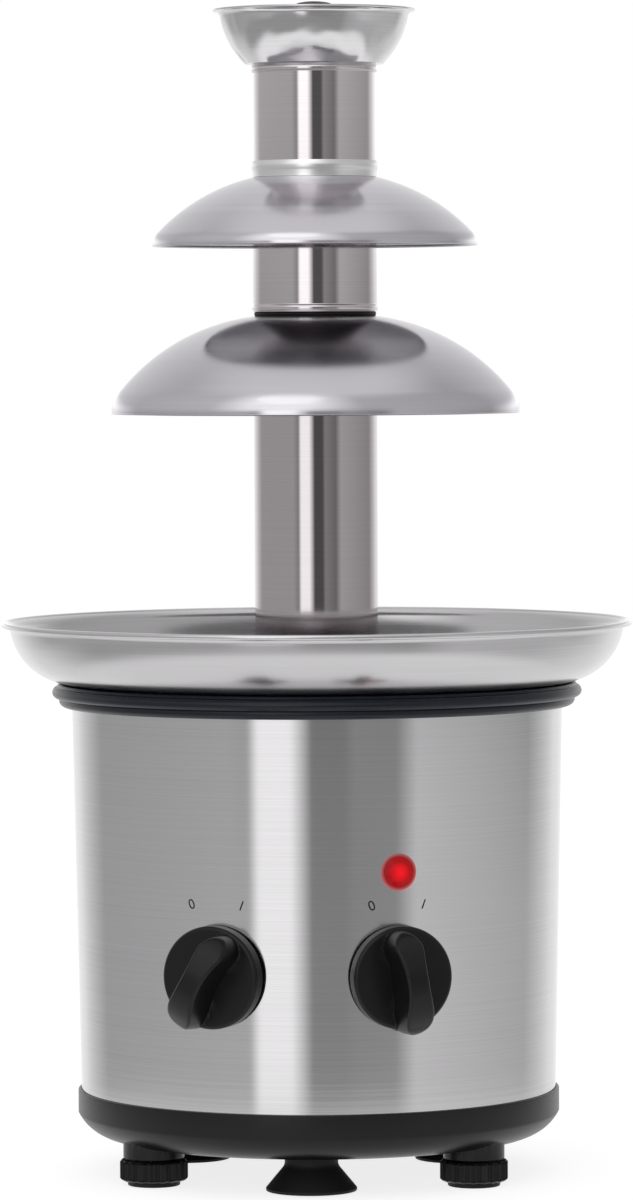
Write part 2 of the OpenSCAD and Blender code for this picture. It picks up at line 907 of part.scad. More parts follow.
module motor_end_cap() {
  color(cream)
    translate([0, gear_distance, 0])
      difference() {
        union() {
          rod(motor_r, motor_z - motor_cap_t, motor_z);
          rod(motor_boss_r, motor_z - motor_cap_t - 2, motor_z);
        }
        rod(rotor_shaft_r + running_fit, motor_z - motor_cap_t - 2 - cut, motor_z + cut);
      }
}

module motor_magnets() {
  magnet_angle = 130;
  color(black)
    translate([0, gear_distance, motor_z + magnet_gap])
      for (side = [0, 180])
        rotate([0, 0, side - magnet_angle / 2])
          rotate_extrude(angle = magnet_angle)
            translate([motor_bore_r - magnet_t, 0])
              square([magnet_t, motor_h - 2 * motor_wall - 2 * magnet_gap]);
}

module motor_rotor() {
  color(copper)
    translate([0, gear_distance, 0]) {
      rod(rotor_shaft_r, motor_z - motor_cap_t - rotor_end, gear_z + gear_w + 1);
      rod(armature_r, motor_z + armature_inset, deck_z - armature_inset);
    }
}

module motor_pinion() {
  color(brass)
    translate([0, gear_distance, 0])
      difference() {
        translate([0, 0, gear_z])
          linear_extrude(height = gear_w)
            polygon(gear_points(pinion_teeth));
        rod(rotor_shaft_r, gear_z - cut, gear_z + gear_w + cut);
      }
}

module motor_screws() {
  head_r = 2.6;
  head_h = 1.6;
  color(bright_steel)
    translate([0, gear_distance, 0])
      for (side = [-1, 1])
        translate([side * motor_screw_x, 0, 0]) {
          rod(motor_screw_r, deck_z - 2 * motor_wall, deck_top_z);
          rod(head_r, deck_top_z, deck_top_z + head_h);
        }
}

// The housing

// The sleeve's sheet, grown all round by a gap
module sleeve_solid(gap) {
  bottom_z = tray_top_z - sleeve_seat - gap;
  top_z = sleeve_top_z + sleeve_seat + gap;
  rotate_extrude()
    polygon([
      [sleeve_r(bottom_z) - sleeve_sheet - gap, bottom_z],
      [sleeve_r(bottom_z) + gap, bottom_z],
      [sleeve_r(top_z) + gap, top_z],
      [sleeve_r(top_z) - sleeve_sheet - gap, top_z]
    ]);
}

module housing_sleeve() {
  color(steel)
    difference() {
      sleeve_solid(0);
      for (side = [-1, 1])
        facing(side * knob_angle, knob_z, sleeve_r(knob_z) / 2)
          cylinder(r = bushing_r + slip_fit, h = sleeve_r(knob_z));
      facing(knob_angle, lamp_z, sleeve_r(lamp_z) / 2)
        cylinder(r = lamp_r + slip_fit, h = sleeve_r(lamp_z));
      facing(180, gland_z, sleeve_r(gland_z) / 2)
        cylinder(r = gland_r() + slip_fit, h = sleeve_r(gland_z));
    }
}

// Half of the tray's section, rounded underneath up to a crease in its wall
module tray_outline(r, z, round_r, reach) {
  difference() {
    translate([0, z])
      square([r, tray_top_z - z]);
    translate([r - reach, z])
      difference() {
        translate([0, -cut])
          square([reach + cut, round_r + cut]);
        translate([0, round_r])
          circle(r = round_r);
      }
  }
}

module base_tray() {
  color(black)
    difference() {
      union() {
        rotate_extrude()
          difference() {
            tray_outline(tray_r, foot_gap, tray_round, tray_round_reach);
            translate([0, cut])
              tray_outline(tray_r - tray_wall, tray_floor_z - cut, tray_round - tray_floor_t,
                           tray_round_reach - tray_wall);
            translate([0, tray_top_z - cut])
              square([tray_r - tray_wall, 2 * cut]);
          }
        on_circle(level_angles, level_circle_r)
          rod(level_boss_r, foot_gap - level_boss_h, tray_floor_z + level_boss_rise);
      }
      sleeve_solid(slip_fit);
      on_circle(level_angles, level_circle_r)
        rod(insert_r, 0, tray_top_z);
      on_circle(suction_angles, suction_circle_r)
        rod(plug_r, 0, tray_top_z);
      on_circle(post_angles, post_circle_r)
        rod(screw_r, 0, tray_top_z);
    }
}

module base_posts() {
  color(steel)
    on_circle(post_angles, post_circle_r)
      difference() {
        rod(post_r, tray_floor_z, deck_z);
        rod(screw_r, tray_floor_z - cut, tray_floor_z + screw_grip);
      }
}

module base_screws() {
  color(bright_steel)
    on_circle(post_angles, post_circle_r) {
      rod(screw_head_r, foot_gap - screw_head_h, foot_gap);
      rod(screw_r, foot_gap, tray_floor_z + screw_grip);
    }
}

// The controls

// Plan of a knob's grip: waisted between two round ends
module grip_outline() {
  top = knob_r - 1;
  tail = knob_r + grip_tail;
  end_r = grip_w / 2;
  difference() {
    union() {
      translate([-end_r, end_r - tail])
        square([grip_w, top + tail - 2 * end_r]);
      translate([0, top - end_r])
        circle(r = end_r);
      translate([0, end_r - tail])
        circle(r = end_r);
    }
    for (side = [-1, 1])
      translate([side * (grip_flank_r + grip_waist / 2), 0])
        circle(r = grip_flank_r);
  }
}

// A wing knob on its skirt, with +Z along its axis
module wing_knob() {
  edge = 1.2;
  crown_r = 1.2 * knob_r;
  difference() {
    union() {
      rotate_extrude() {
        square([knob_r - edge, skirt_h]);
        square([knob_r, skirt_h - edge]);
        translate([knob_r - edge, skirt_h - edge])
          circle(r = edge);
      }
      intersection() {
        linear_extrude(height = knob_h)
          grip_outline();
        translate([0, 0, knob_h - crown_r])
          sphere(r = crown_r);
      }
    }
    translate([0, 0, -cut])
      cylinder(r = knob_recess_r, h = knob_recess_h + cut);
    cylinder(r = spindle_r, h = spindle_out);
  }
}

// A rotary switch behind the sleeve, with its bushing through the panel
module rotary_switch() {
  bushing_top = knob_foot_r - switch_face_r + panel_nut_t;
  difference() {
    union() {
      translate([-switch_w / 2, -switch_h / 2, -switch_t])
        cube([switch_w, switch_h, switch_t - 3]);
      translate([0, 0, -switch_t])
        cylinder(r = switch_h / 3, h = switch_t);
      cylinder(r = bushing_r, h = bushing_top);
      for (side = [-1, 0, 1])
        translate([side * switch_w / 3 - tab_w / 2, -tab_t / 2, -switch_t - tab_h])
          cube([tab_w, tab_t, tab_h]);
    }
    translate([0, 0, -spindle_in])
      cylinder(r = spindle_r + running_fit, h = spindle_in + bushing_top + cut);
  }
}

// A spindle from inside its switch up into its knob
module spindle() {
  cylinder(r = spindle_r, h = knob_foot_r - switch_face_r + spindle_in + spindle_out - free_gap);
}

module motor_knob() {
  color(black)
    facing(-knob_angle, knob_z, knob_foot_r)
      rotate([0, 0, -motor_knob_turn])
        wing_knob();
}

module motor_spindle() {
  color(bright_steel)
    facing(-knob_angle, knob_z, switch_face_r - spindle_in + free_gap)
      spindle();
}

module motor_switch() {
  color(cream)
    facing(-knob_angle, knob_z, switch_face_r)
      rotary_switch();
}

module heat_knob() {
  color(black)
    facing(knob_angle, knob_z, knob_foot_r)
      rotate([0, 0, -heat_knob_turn])
        wing_knob();
}

module heat_spindle() {
  color(bright_steel)
    facing(knob_angle, knob_z, switch_face_r - spindle_in + free_gap)
      spindle();
}

module heat_switch() {
  color(cream)
    facing(knob_angle, knob_z, switch_face_r)
      rotary_switch();
}

module switch_nuts() {
  color(brass)
    for (side = [-1, 1])
      facing(side * knob_angle, knob_z, panel_nut_foot_r)
        difference() {
          cylinder(r = panel_nut_r, h = panel_nut_t, $fn = 6);
          translate([0, 0, -cut])
            cylinder(r = bushing_r, h = panel_nut_t + 2 * cut);
        }
}

module lamp_lens() {
  dome_r = lamp_r * 1.5;
  color(lamp_red)
    facing(knob_angle, lamp_z, lamp_foot_r)
      rotate_extrude()
        intersection() {
          translate([0, 2.6 - dome_r])
            circle(r = dome_r);
          square([lamp_r - 0.3, 3]);
        }
}

module lamp_body() {
  bezel_h = 1.1;
  body_h = 15;
  color(cream)
    facing(knob_angle, lamp_z, lamp_foot_r) {
      difference() {
        cylinder(r = lamp_bezel_r, h = bezel_h);
        translate([0, 0, -cut])
          cylinder(r = lamp_r - 0.3, h = bezel_h + 2 * cut);
      }
      translate([0, 0, -body_h])
        cylinder(r = lamp_r, h = body_h);
      for (side = [-1, 1])
        translate([side * lamp_r / 2 - tab_t / 2, -tab_w / 2, -body_h - tab_h])
          cube([tab_t, tab_w, tab_h]);
    }
}

// The cord inlet

// Outer radius of the gland's barrel
function gland_r() = gland_bore_r + 2.5;

// Outer radius of the gland's flange and nut
function gland_flange_r() = gland_r() + 3;

module cord_gland() {
  flange_t = 2.4;
  barrel = 14;
  color(black)
    facing(180, gland_z, gland_foot_r)
      difference() {
        union() {
          cylinder(r = gland_flange_r(), h = flange_t);
          translate([0, 0, -barrel])
            cylinder(r = gland_r(), h = barrel);
        }
        translate([0, 0, -barrel - cut])
          cylinder(r = gland_bore_r, h = barrel + flange_t + 2 * cut);
      }
}

module gland_nut() {
  nut_t = 4;
  sag = pow(gland_flange_r(), 2) / sleeve_r(gland_z);
  color(black)
    facing(180, gland_z, sleeve_r(gland_z) - sleeve_sheet - sag - nut_t)
      difference() {
        cylinder(r = gland_flange_r(), h = nut_t, $fn = 6);
        translate([0, 0, -cut])
          cylinder(r = gland_r(), h = nut_t + 2 * cut);
      }
}

module terminal_block() {
  poles = 3;
  pole_w = 9;
  block_d = 16;
  block_h = 12;
  wire_r = 2;
  color(cream)
    translate([-poles * pole_w / 2, -block_d / 2, tray_floor_z])
      difference() {
        cube([poles * pole_w, block_d, block_h]);
        for (i = [0 : poles - 1])
          translate([(i + 0.5) * pole_w, -cut, block_h / 3]) {
            rotate([-90, 0, 0])
              cylinder(r = wire_r, h = block_d + 2 * cut);
            for (y = [0.25, 0.75])
              translate([0, cut + y * block_d, 0])
                cylinder(r = wire_r, h = block_h);
          }
      }
}

// The feet

// A suction cup, pressed into the tray's floor
module suction_cup(angle) {
  bell_z = foot_gap * 0.7;
  rim_t = 0.9;
  hollow_h = 3.4;
  color(rubber)
    on_circle([angle], suction_circle_r)
      rotate_extrude()
        polygon([
          [0, tray_floor_z + plug_head_h],
          [plug_head_r, tray_floor_z + plug_head_h],
          [plug_head_r, tray_floor_z],
          [plug_r, tray_floor_z],
          [plug_r, foot_gap],
          [suction_neck_r, foot_gap],
          [suction_neck_r, bell_z],
          [suction_r, suction_lift + rim_t],
          [suction_r, suction_lift],
          [suction_r - rim_t, suction_lift],
          [suction_neck_r, suction_lift + hollow_h],
          [0, suction_lift + hollow_h]
        ]);
}

module suction_cup_front() {
  suction_cup(suction_angles[2]);
}

module suction_cup_left() {
  suction_cup(suction_angles[1]);
}

module suction_cup_right() {
  suction_cup(suction_angles[0]);
}

module foot_inserts() {
  color(brass)
    on_circle(level_angles, level_circle_r)
      ring(insert_r, stud_r + running_fit, foot_gap - level_boss_h, insert_top_z - foot_gap + level_boss_h);
}

// A fluted knob on its stud
module levelling_knob(angle) {
  taper = 0.5;
  color(black)
    on_circle([angle], level_circle_r) {
      intersection() {
        translate([0, 0, pad_t])
          linear_extrude(height = level_top_z - pad_t)
            difference() {
              circle(r = level_r);
              for (i = [0 : level_flutes - 1])
                rotate([0, 0, 360 * i / level_flutes])
                  translate([level_r + level_flute_r / 2, 0])
                    circle(r = level_flute_r);
            }
        translate([0, 0, pad_t])
          cylinder(r1 = level_r - taper, r2 = level_r, h = level_top_z - pad_t);
      }
      rod(stud_r, level_top_z, stud_top_z);
    }
}

// A pad on which a levelling knob turns
module levelling_pad(angle) {
  color(rubber)
    on_circle([angle], level_circle_r)
      rod(level_r - 2 * level_flute_r, 0, pad_t);
}

module levelling_knob_left() {
  levelling_knob(level_angles[0]);
}

module levelling_pad_left() {
  levelling_pad(level_angles[0]);
}

module levelling_knob_right() {
  levelling_knob(level_angles[1]);
}

module levelling_pad_right() {
  levelling_pad(level_angles[1]);
}

module levelling_knob_rear() {
  levelling_knob(level_angles[2]);
}

module levelling_pad_rear() {
  levelling_pad(level_angles[2]);
}

top_cup();
upper_tube();
upper_canopy();
middle_tube();
tier_gasket();
lower_canopy();
lower_tube();
auger();
bowl();
bowl_hub();
hub_nut();
shaft_seal();
bowl_studs();
stud_nuts();
collar_ring();
heater_plate();
heater_element();
thermostat();
thermal_fuse();
heat_shield();
drive_shaft();
shaft_clip();
drive_gear();
deck_bush();
gear_deck();
deck_posts();
motor_can();
motor_end_cap();
motor_magnets();
motor_rotor();
motor_pinion();
motor_screws();
housing_sleeve();
base_tray();
base_posts();
base_screws();
motor_knob();
motor_spindle();
motor_switch();
heat_knob();
heat_spindle();
heat_switch();
switch_nuts();
lamp_lens();
lamp_body();
cord_gland();
gland_nut();
terminal_block();
suction_cup_front();
suction_cup_left();
suction_cup_right();
foot_inserts();
levelling_knob_left();
levelling_pad_left();
levelling_knob_right();
levelling_pad_right();
levelling_knob_rear();
levelling_pad_rear();
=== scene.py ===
"""Looks of a home chocolate fountain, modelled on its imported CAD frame."""

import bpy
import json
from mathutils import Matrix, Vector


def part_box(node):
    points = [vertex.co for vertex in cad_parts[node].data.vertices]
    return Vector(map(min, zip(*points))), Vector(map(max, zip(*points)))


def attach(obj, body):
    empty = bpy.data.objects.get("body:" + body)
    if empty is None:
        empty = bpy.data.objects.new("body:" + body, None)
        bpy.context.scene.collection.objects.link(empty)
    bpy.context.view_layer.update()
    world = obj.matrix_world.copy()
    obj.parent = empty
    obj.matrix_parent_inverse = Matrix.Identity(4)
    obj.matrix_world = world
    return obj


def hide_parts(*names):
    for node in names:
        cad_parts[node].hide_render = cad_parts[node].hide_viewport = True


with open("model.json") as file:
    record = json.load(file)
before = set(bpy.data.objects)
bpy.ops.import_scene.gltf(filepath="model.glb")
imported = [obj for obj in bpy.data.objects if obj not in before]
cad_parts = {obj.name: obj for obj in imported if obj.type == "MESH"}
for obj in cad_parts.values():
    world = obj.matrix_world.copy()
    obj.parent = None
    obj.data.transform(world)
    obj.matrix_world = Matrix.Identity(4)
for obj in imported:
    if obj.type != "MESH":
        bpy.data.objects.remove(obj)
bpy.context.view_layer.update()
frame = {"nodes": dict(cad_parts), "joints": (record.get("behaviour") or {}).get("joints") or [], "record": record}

import json
from math import acos, asin, atan2, ceil, cos, degrees, hypot, pi, radians, sin, sqrt, tan

import bpy
from bpy.props import FloatProperty, FloatVectorProperty, PointerProperty
from mathutils import Matrix, Vector

bl_info = {
    "name": "Chocolate fountain",
    "version": (1, 0, 0),
    "blender": (4, 5, 0),
    "location": "3D View > Sidebar > Fountain",
    "description": "Models the shells, tiers, controls and feet of a chocolate fountain on its CAD frame",
    "category": "Object",
}

MM = 0.001
KNOBS = ("motor_knob", "heat_knob")
LEVEL_SIDES = ("left", "right", "rear")
SUCTION_SIDES = ("front", "left", "right")

# How finely outlines and lathed pieces are made
WIDE_STEPS = 192
LATHE_STEPS = 160
KNOB_STEPS = 96
SMALL_STEPS = 64
CHORD_SAG = 0.01 * MM
SAG_SHARE = 0.01
GRIP_CUTS = 31
MERGE = 0.002 * MM
SMOOTH_ANGLE = radians(38)


def low(node):
    """Lowest corner of a CAD node."""
    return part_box(node)[0]


def high(node):
    """Highest corner of a CAD node."""
    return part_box(node)[1]


def middle(node):
    """Middle of a CAD node's box."""
    return (low(node) + high(node)) / 2


def length(name, description, default):
    """A length that a user may change."""
    return FloatProperty(name=name, description=description, default=default, min=0.0, unit="LENGTH")


def colour(name, description, default):
    """A colour that a user may change."""
    return FloatVectorProperty(name=name, description=description, default=default, size=3, min=0.0, max=1.0,
                               subtype="COLOR")


class FountainSizes(bpy.types.PropertyGroup):
    """Sizes of the sheet metal, the mouldings and the controls."""

    tube_wall: length("Tube wall", "Thickness of the tubes' wall", 0.7 * MM)
    tube_fit: length("Tube fit", "Clearance of the pieces that slide off", 0.12 * MM)
    spigot: length("Spigot", "Height of the spigots on which the tiers slide", 12 * MM)
    bead_height: length("Bead height", "Height of the beads round the tubes", 2.6 * MM)
    bead_reach: length("Bead reach", "How far a bead stands out", 0.45 * MM)
    band_height: length("Band height", "Height of the band at the upper tube's foot", 4.4 * MM)
    notch_width: length("Notch width", "Width of the inlet notches", 14 * MM)
    notch_height: length("Notch height", "Height of the inlet notches", 9 * MM)
    sheet: length("Sheet", "Thickness of the canopies and the cup", 0.7 * MM)
    rim_height: length("Rim height", "Height of the upright end of a canopy's edge", 0.8 * MM)
    lower_crown: length("Lower crown", "Radius at which the lower canopy is level", 12 * MM)
    lower_edge: length("Lower edge", "Radius of the lower canopy's turned-down edge", 10.9 * MM)
    upper_crown: length("Upper crown", "Radius at which the upper canopy is level", 6 * MM)
    upper_edge: length("Upper edge", "Radius of the upper canopy's turned-down edge", 5.3 * MM)
    cup_curve: length("Cup curve", "Radius of the cup's wall in section", 30.2 * MM)
    cup_roll: length("Cup roll", "Radius of the roll at the cup's rim", 2 * MM)
    bowl_sheet: length("Bowl sheet", "Thickness of the bowl", 0.8 * MM)
    bowl_curve: length("Bowl curve", "Radius of the bowl's wall in section", 20.65 * MM)
    bowl_roll: length("Bowl roll", "Radius of the roll at the bowl's rim", 2.2 * MM)
    bowl_bead: length("Bowl bead", "Radius of the bead at the bowl's rim", 0.9 * MM)
    hub_radius: length("Hub radius", "Radius of the hole for the bowl's hub", 9 * MM)
    collar_reach: length("Collar reach", "How far the collar's ribs stand out from the sleeve", 6.35 * MM)
    collar_depth: length("Collar depth", "How far the collar reaches inwards", 8 * MM)
    sleeve_sheet: length("Sleeve sheet", "Thickness of the sleeve", 0.6 * MM)
    sleeve_seat: length("Sleeve seat", "Depth of the sleeve's ends in tray and collar", 3 * MM)
    tray_lip: length("Tray lip", "How far the tray stands out from the sleeve", 1.1 * MM)
    tray_wall: length("Tray wall", "Thickness of the tray's wall", 4 * MM)
    tray_floor: length("Tray floor", "Thickness of the tray's floor", 3 * MM)
    tray_round: length("Tray round", "Radius of the rounding under the tray", 14.5 * MM)
    tray_reach: length("Tray reach", "How far the rounding reaches in from the tray's edge", 13 * MM)
    boss_height: length("Boss height", "Height of the bosses over the levelling feet", 3 * MM)
    plug_radius: length("Plug radius", "Radius of the suction cups' plugs", 5 * MM)
    knob_radius: length("Knob radius", "Radius of the knobs' skirts", 16.25 * MM)
    knob_height: length("Knob height", "Height of the knobs", 19.5 * MM)
    knob_gap: length("Knob gap", "Gap between the knobs and the sleeve", 0.4 * MM)
    skirt_height: length("Skirt height", "Height of the knobs' skirts", 5 * MM)
    grip_width: length("Grip width", "Width of the grips at their ends", 11 * MM)
    grip_waist: length("Grip waist", "Width of the grips at their middle", 8.4 * MM)
    grip_tail: length("Grip tail", "How far a grip's tail stands out", 1.8 * MM)
    mark_height: length("Mark height", "Height of the numerals over the knobs", 3.2 * MM)
    mark_radius: length("Mark radius", "Distance of the numerals from a knob's axis", 24 * MM)
    auger_pitch: length("Auger pitch", "Pitch of the auger's flight", 28 * MM)
    auger_core: length("Auger core", "Radius of the auger's core", 6 * MM)
    flight_thickness: length("Flight thickness", "Thickness of the flight along the axis", 2.4 * MM)
    level_radius: length("Levelling radius", "Radius of the levelling knobs", 10.6 * MM)
    stud_radius: length("Stud radius", "Radius of the levelling studs", 3 * MM)


class FountainFinish(bpy.types.PropertyGroup):
    """Colours of the finishes."""

    steel: colour("Steel", "Bright tone of the steel", (0.66, 0.65, 0.66))
    steel_shade: colour("Steel shade", "Dark tone of the steel's brush lines", (0.56, 0.55, 0.56))
    # The band's bright tones are a painted sheen: the same steel as the tubes, painted brighter
    band: colour("Band", "Bright tone of the band at the upper tube's foot", (0.86, 0.85, 0.86))
    sheen_painted_band_shade: colour("Band shade", "Dark tone of the band", (0.78, 0.77, 0.78))
    plated: colour("Plated steel", "Bright tone of screws and studs", (0.62, 0.62, 0.60))
    plated_shade: colour("Plated shade", "Dark tone of screws and studs", (0.5, 0.5, 0.48))
    aluminium: colour("Aluminium", "Bright tone of the cast pieces", (0.74, 0.74, 0.75))
    aluminium_shade: colour("Aluminium shade", "Dark tone of the cast pieces", (0.6, 0.6, 0.62))
    brass: colour("Brass", "Bright tone of the brass pieces", (0.62, 0.43, 0.16))
    brass_shade: colour("Brass shade", "Dark tone of the brass pieces", (0.5, 0.33, 0.11))
    copper: colour("Copper", "Bright tone of the windings", (0.55, 0.25, 0.12))
    copper_shade: colour("Copper shade", "Dark tone of the windings", (0.3, 0.12, 0.05))
    ferrite: colour("Ferrite", "Colour of the magnets", (0.03, 0.03, 0.034))
    black: colour("Black plastic", "Colour of the mouldings", (0.006, 0.006, 0.007))
    collar: colour("Collar black", "Colour of the collar ring", (0.005, 0.008, 0.016))
    cream: colour("Cream plastic", "Colour of the insulating pieces", (0.72, 0.66, 0.50))
    rubber: colour("Rubber", "Colour of the feet and seals", (0.009, 0.009, 0.009))
    lamp: colour("Lamp", "Colour of the lit lens", (1.0, 0.012, 0.02))
    lamp_edge: colour("Lamp edge", "Colour of the lens's edge", (0.27, 0.012, 0.014))
    # The bezel glows pink: a painted glow of the lamp's light on it
    painted_lamp_glow: colour("Lamp halo", "Colour of the bezel in the lamp's light", (0.42, 0.16, 0.16))


class FountainLight(bpy.types.PropertyGroup):
    """The studio's light and camera."""

    softbox: FloatProperty(name="Softbox", description="Power of the softbox", default=0.4, unit="POWER")
    distance: length("Camera distance", "Distance of the camera from the tower's axis", 2.013)
    eye_height: length("Eye height", "Height of the camera above the table", 0.270)
    aim_height: length("Aim height", "Height of the point that the camera looks at", 0.186)
    azimuth: FloatProperty(name="Azimuth", description="Camera angle from the front", default=radians(2.7),
                           subtype="ANGLE")
    roll: FloatProperty(name="Roll", description="Camera tilt about its view", default=radians(-0.27),
                        subtype="ANGLE")
    lens: FloatProperty(name="Lens", description="Focal length", default=186.0, unit="CAMERA")


def sizes():
    """The scene's sizes."""
    return bpy.context.scene.fountain_sizes


def tone(name):
    """One of the scene's finish colours."""
    return tuple(getattr(bpy.context.scene.fountain_finish, name))


# Outlines: lists of (radius, height) points

def arc(center, radius, start, end):
    """Points on an arc between two angles in degrees, counted from outwards to upwards."""
    step = 2 * acos(1 - min(CHORD_SAG / radius, SAG_SHARE))
    count = max(2, ceil(abs(radians(end - start)) / step))
    angles = [radians(start + (end - start) * i / count) for i in range(count + 1)]
    return [(center[0] + radius * cos(a), center[1] + radius * sin(a)) for a in angles]


def rounded(corners):
    """An outline through corners of (radius, height, rounding); the two ends stay sharp."""
    points = []
    for i, (r, z, bend) in enumerate(corners):
        if bend == 0 or i in (0, len(corners) - 1):
            points.append((r, z))
            continue
        here = Vector((r, z))
        back = (Vector(corners[i - 1][:2]) - here).normalized()
        ahead = (Vector(corners[i + 1][:2]) - here).normalized()
        half = back.angle(ahead) / 2
        center = here + (back + ahead).normalized() * bend / sin(half)
        first = here + back * bend / tan(half) - center
        last = here + ahead * bend / tan(half) - center
        start = atan2(first.y, first.x)
        turn = (atan2(last.y, last.x) - start + pi) % (2 * pi) - pi
        points += arc(center, bend, degrees(start), degrees(start + turn))
    return points


def sheet_outline(line, wall, bead):
    """Closed outline of a sheet along its middle line, whose end is a round bead."""
    line = [Vector(p) for p in line]
    tip = line[-1]
    along = (tip - line[-2]).normalized()
    back = asin(wall / 2 / bead)
    line = [p for p in line[:-1] if (p - tip).length > bead * cos(back) + CHORD_SAG]
    one_side = []
    other_side = []
    for i, p in enumerate(line):
        before = (p - line[i - 1]).normalized() if i else (line[1] - p).normalized()
        after = (line[i + 1] - p).normalized() if i + 1 < len(line) else along
        normal = Vector((-before.y - after.y, before.x + after.x)).normalized()
        reach = wall / 2 / normal.dot(Vector((-before.y, before.x)))
        one_side.append(p - normal * reach)
        other_side.append(p + normal * reach)
    start = degrees(atan2(along.y, along.x))
    swing = 180 - degrees(back)
    return ([tuple(p) for p in one_side] + arc(tip, bead, start - swing, start + swing)
            + [tuple(p) for p in reversed(other_side)])


# Modelling

def merge_doubles():
    """Select the whole mesh in edit mode and merge its doubles."""
    bpy.ops.mesh.select_all(action="SELECT")
    bpy.ops.mesh.remove_doubles(threshold=MERGE)


def wire(name, points):
    """A new piece in edit mode: one vertex, extruded from point to point."""
    bpy.ops.object.select_all(action="DESELECT")
    bpy.ops.mesh.primitive_plane_add(size=MM)
    piece = bpy.context.active_object
    piece.name = name
    piece.data.name = name
    bpy.ops.object.mode_set(mode="EDIT")
    bpy.ops.mesh.merge(type="CENTER")
    bpy.ops.transform.translate(value=points[0])
    for here, there in zip(points, points[1:]):
        step = Vector(there) - Vector(here)
        bpy.ops.mesh.extrude_vertices_move(TRANSFORM_OT_translate={"value": step})
    merge_doubles()
    return piece


def smooth():
    """Smooth the active piece's round faces, so that its large flat faces stay flat."""
    bpy.ops.object.shade_smooth_by_angle(angle=SMOOTH_ANGLE)
    weigh = bpy.context.active_object.modifiers.new("Weigh", "WEIGHTED_NORMAL")
    weigh.keep_sharp = True
    bpy.ops.object.modifier_apply(modifier=weigh.name)


def clean():
    """Merge doubles, turn the faces outwards, leave edit mode and smooth the piece."""
    merge_doubles()
    bpy.ops.mesh.normals_make_consistent(inside=False)
    bpy.ops.object.mode_set(mode="OBJECT")
    smooth()


def lathe(name, outline, steps=LATHE_STEPS):
    """Spin an outline about the vertical axis. One that starts on the axis is open, any other is closed."""
    ring = [(r, 0.0, z) for r, z in outline]
    piece = wire(name, ring if ring[0][0] == 0 else ring + ring[:1])
    bpy.ops.mesh.spin(steps=steps, angle=2 * pi, center=(0, 0, 0), axis=(0, 0, 1))
    clean()
    return piece


def rod(radius, bottom, top, place=(0, 0)):
    """A plain upright rod, as a tool to cut or join with."""
    bpy.ops.object.select_all(action="DESELECT")
    bpy.ops.mesh.primitive_cylinder_add(vertices=SMALL_STEPS, radius=radius, depth=top - bottom,
                                        location=(place[0], place[1], (top + bottom) / 2))
    return bpy.context.active_object


def pick(*pieces):
    """Select pieces alone and make the first one active."""
    bpy.ops.object.select_all(action="DESELECT")
    for piece in pieces:
        piece.select_set(True)
    bpy.context.view_layer.objects.active = pieces[0]


def settle(piece, matrix):
    """Move a piece to its place and put the place into its mesh."""
    pick(piece)
    piece.matrix_world = matrix @ piece.matrix_world
    bpy.ops.object.transform_apply(location=True, rotation=True, scale=True)
    return piece


def combine(piece, tools, operation):
    """Cut tools out of a piece, or join them to it."""
    pick(*tools)
    if len(tools) > 1:
        bpy.ops.object.join()
    tool = bpy.context.active_object
    pick(piece)
    change = piece.modifiers.new("Combine", "BOOLEAN")
    change.operation = operation
    change.solver = "EXACT"
    change.object = tool
    bpy.ops.object.modifier_apply(modifier=change.name)
    bpy.data.objects.remove(tool)
    smooth()
    return piece


def copy_piece(piece, name, matrix):
    """A copy with its own mesh, settled at a place."""
    twin = piece.copy()
    twin.data = piece.data.copy()
    twin.name = name
    twin.data.name = name
    bpy.context.collection.objects.link(twin)
    return settle(twin, matrix)


def dress(piece, slot, body, *nodes, look=None):
    """Give a piece its slot's finish, or a look of its own, and its body, in place of CAD nodes."""
    piece.data.materials.clear()
    piece.data.materials.append(finish(look or slot))
    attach(piece, body)
    if nodes:
        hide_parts(*nodes)


def facing(angle, z, r):
    """A place on the housing: local +Z points outwards at an angle from the front, and +Y points up."""
    return (Matrix.Translation((0, 0, z)) @ Matrix.Rotation(angle, 4, "Z") @ Matrix.Rotation(pi / 2, 4, "X")
            @ Matrix.Translation((0, 0, r)))


def front_angle(place):
    """Angle of a place from the front, about the tower's axis."""
    return atan2(place[0], -place[1])


def sleeve_radius(z):
    """Outer radius of the sleeve at a height."""
    foot = high("base_tray")
    top = high("housing_sleeve")
    foot_radius = foot.x - sizes().tray_lip
    return foot_radius + (z - foot.z) * (top.x - foot_radius) / (top.z - foot.z)


def knob_axis(knob):
    """A point on the axis about which a knob turns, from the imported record."""
    return next(j for j in frame["joints"] if j["name"] == knob + "_turn")["pos_m"]


# Finishes

# The range of a mask
WHOLE = (0.0, 1.0)
# How much the brush lines change a metal's roughness, and the share by which smudges change it
LINE_WEAR = 0.04
SMUDGE_WEAR = 0.3
# Quarter turn that lays a metal's stretched highlights across its brush lines
ACROSS = 0.25
# How the roughness of a moulding varies, and the shares of its colour in its deep and pale places
MOULD_WEAR = 0.08
MOULD_DEEP = 0.8
MOULD_PALE = 1.25
# Tints of the canopies' and the tubes' steel
COOL = (1.0, 0.985, 1.03)
WARM = (1.0, 0.95, 0.96)
# Grey of a canopy's underside, partly a duller unpolished finish and partly painted shade, and the upright part of
# the directions between which it sets in
DULL_AND_SHADED_UNDERSIDE = 0.40
DULL_AND_SHADED_TURN = (-0.15, -0.45)
# Depth and closeness of the dents in the cup's wall
DENT_DEPTH = 1.6 * MM
DENTS = 70.0


def opaque(tint):
    """A colour with its alpha."""
    return (*tint, 1)


def grey(value):
    """An even grey."""
    return (value, value, value, 1)


def node(tree, kind, **values):
    """A new shader node with its settings."""
    made = tree.nodes.new(kind)
    for name, value in values.items():
        setattr(made, name, value)
    return made


def feed(tree, value, socket):
    """Link a socket to an output, or set it to a number or a colour."""
    if isinstance(value, bpy.types.NodeSocket):
        tree.links.new(value, socket)
    else:
        socket.default_value = value


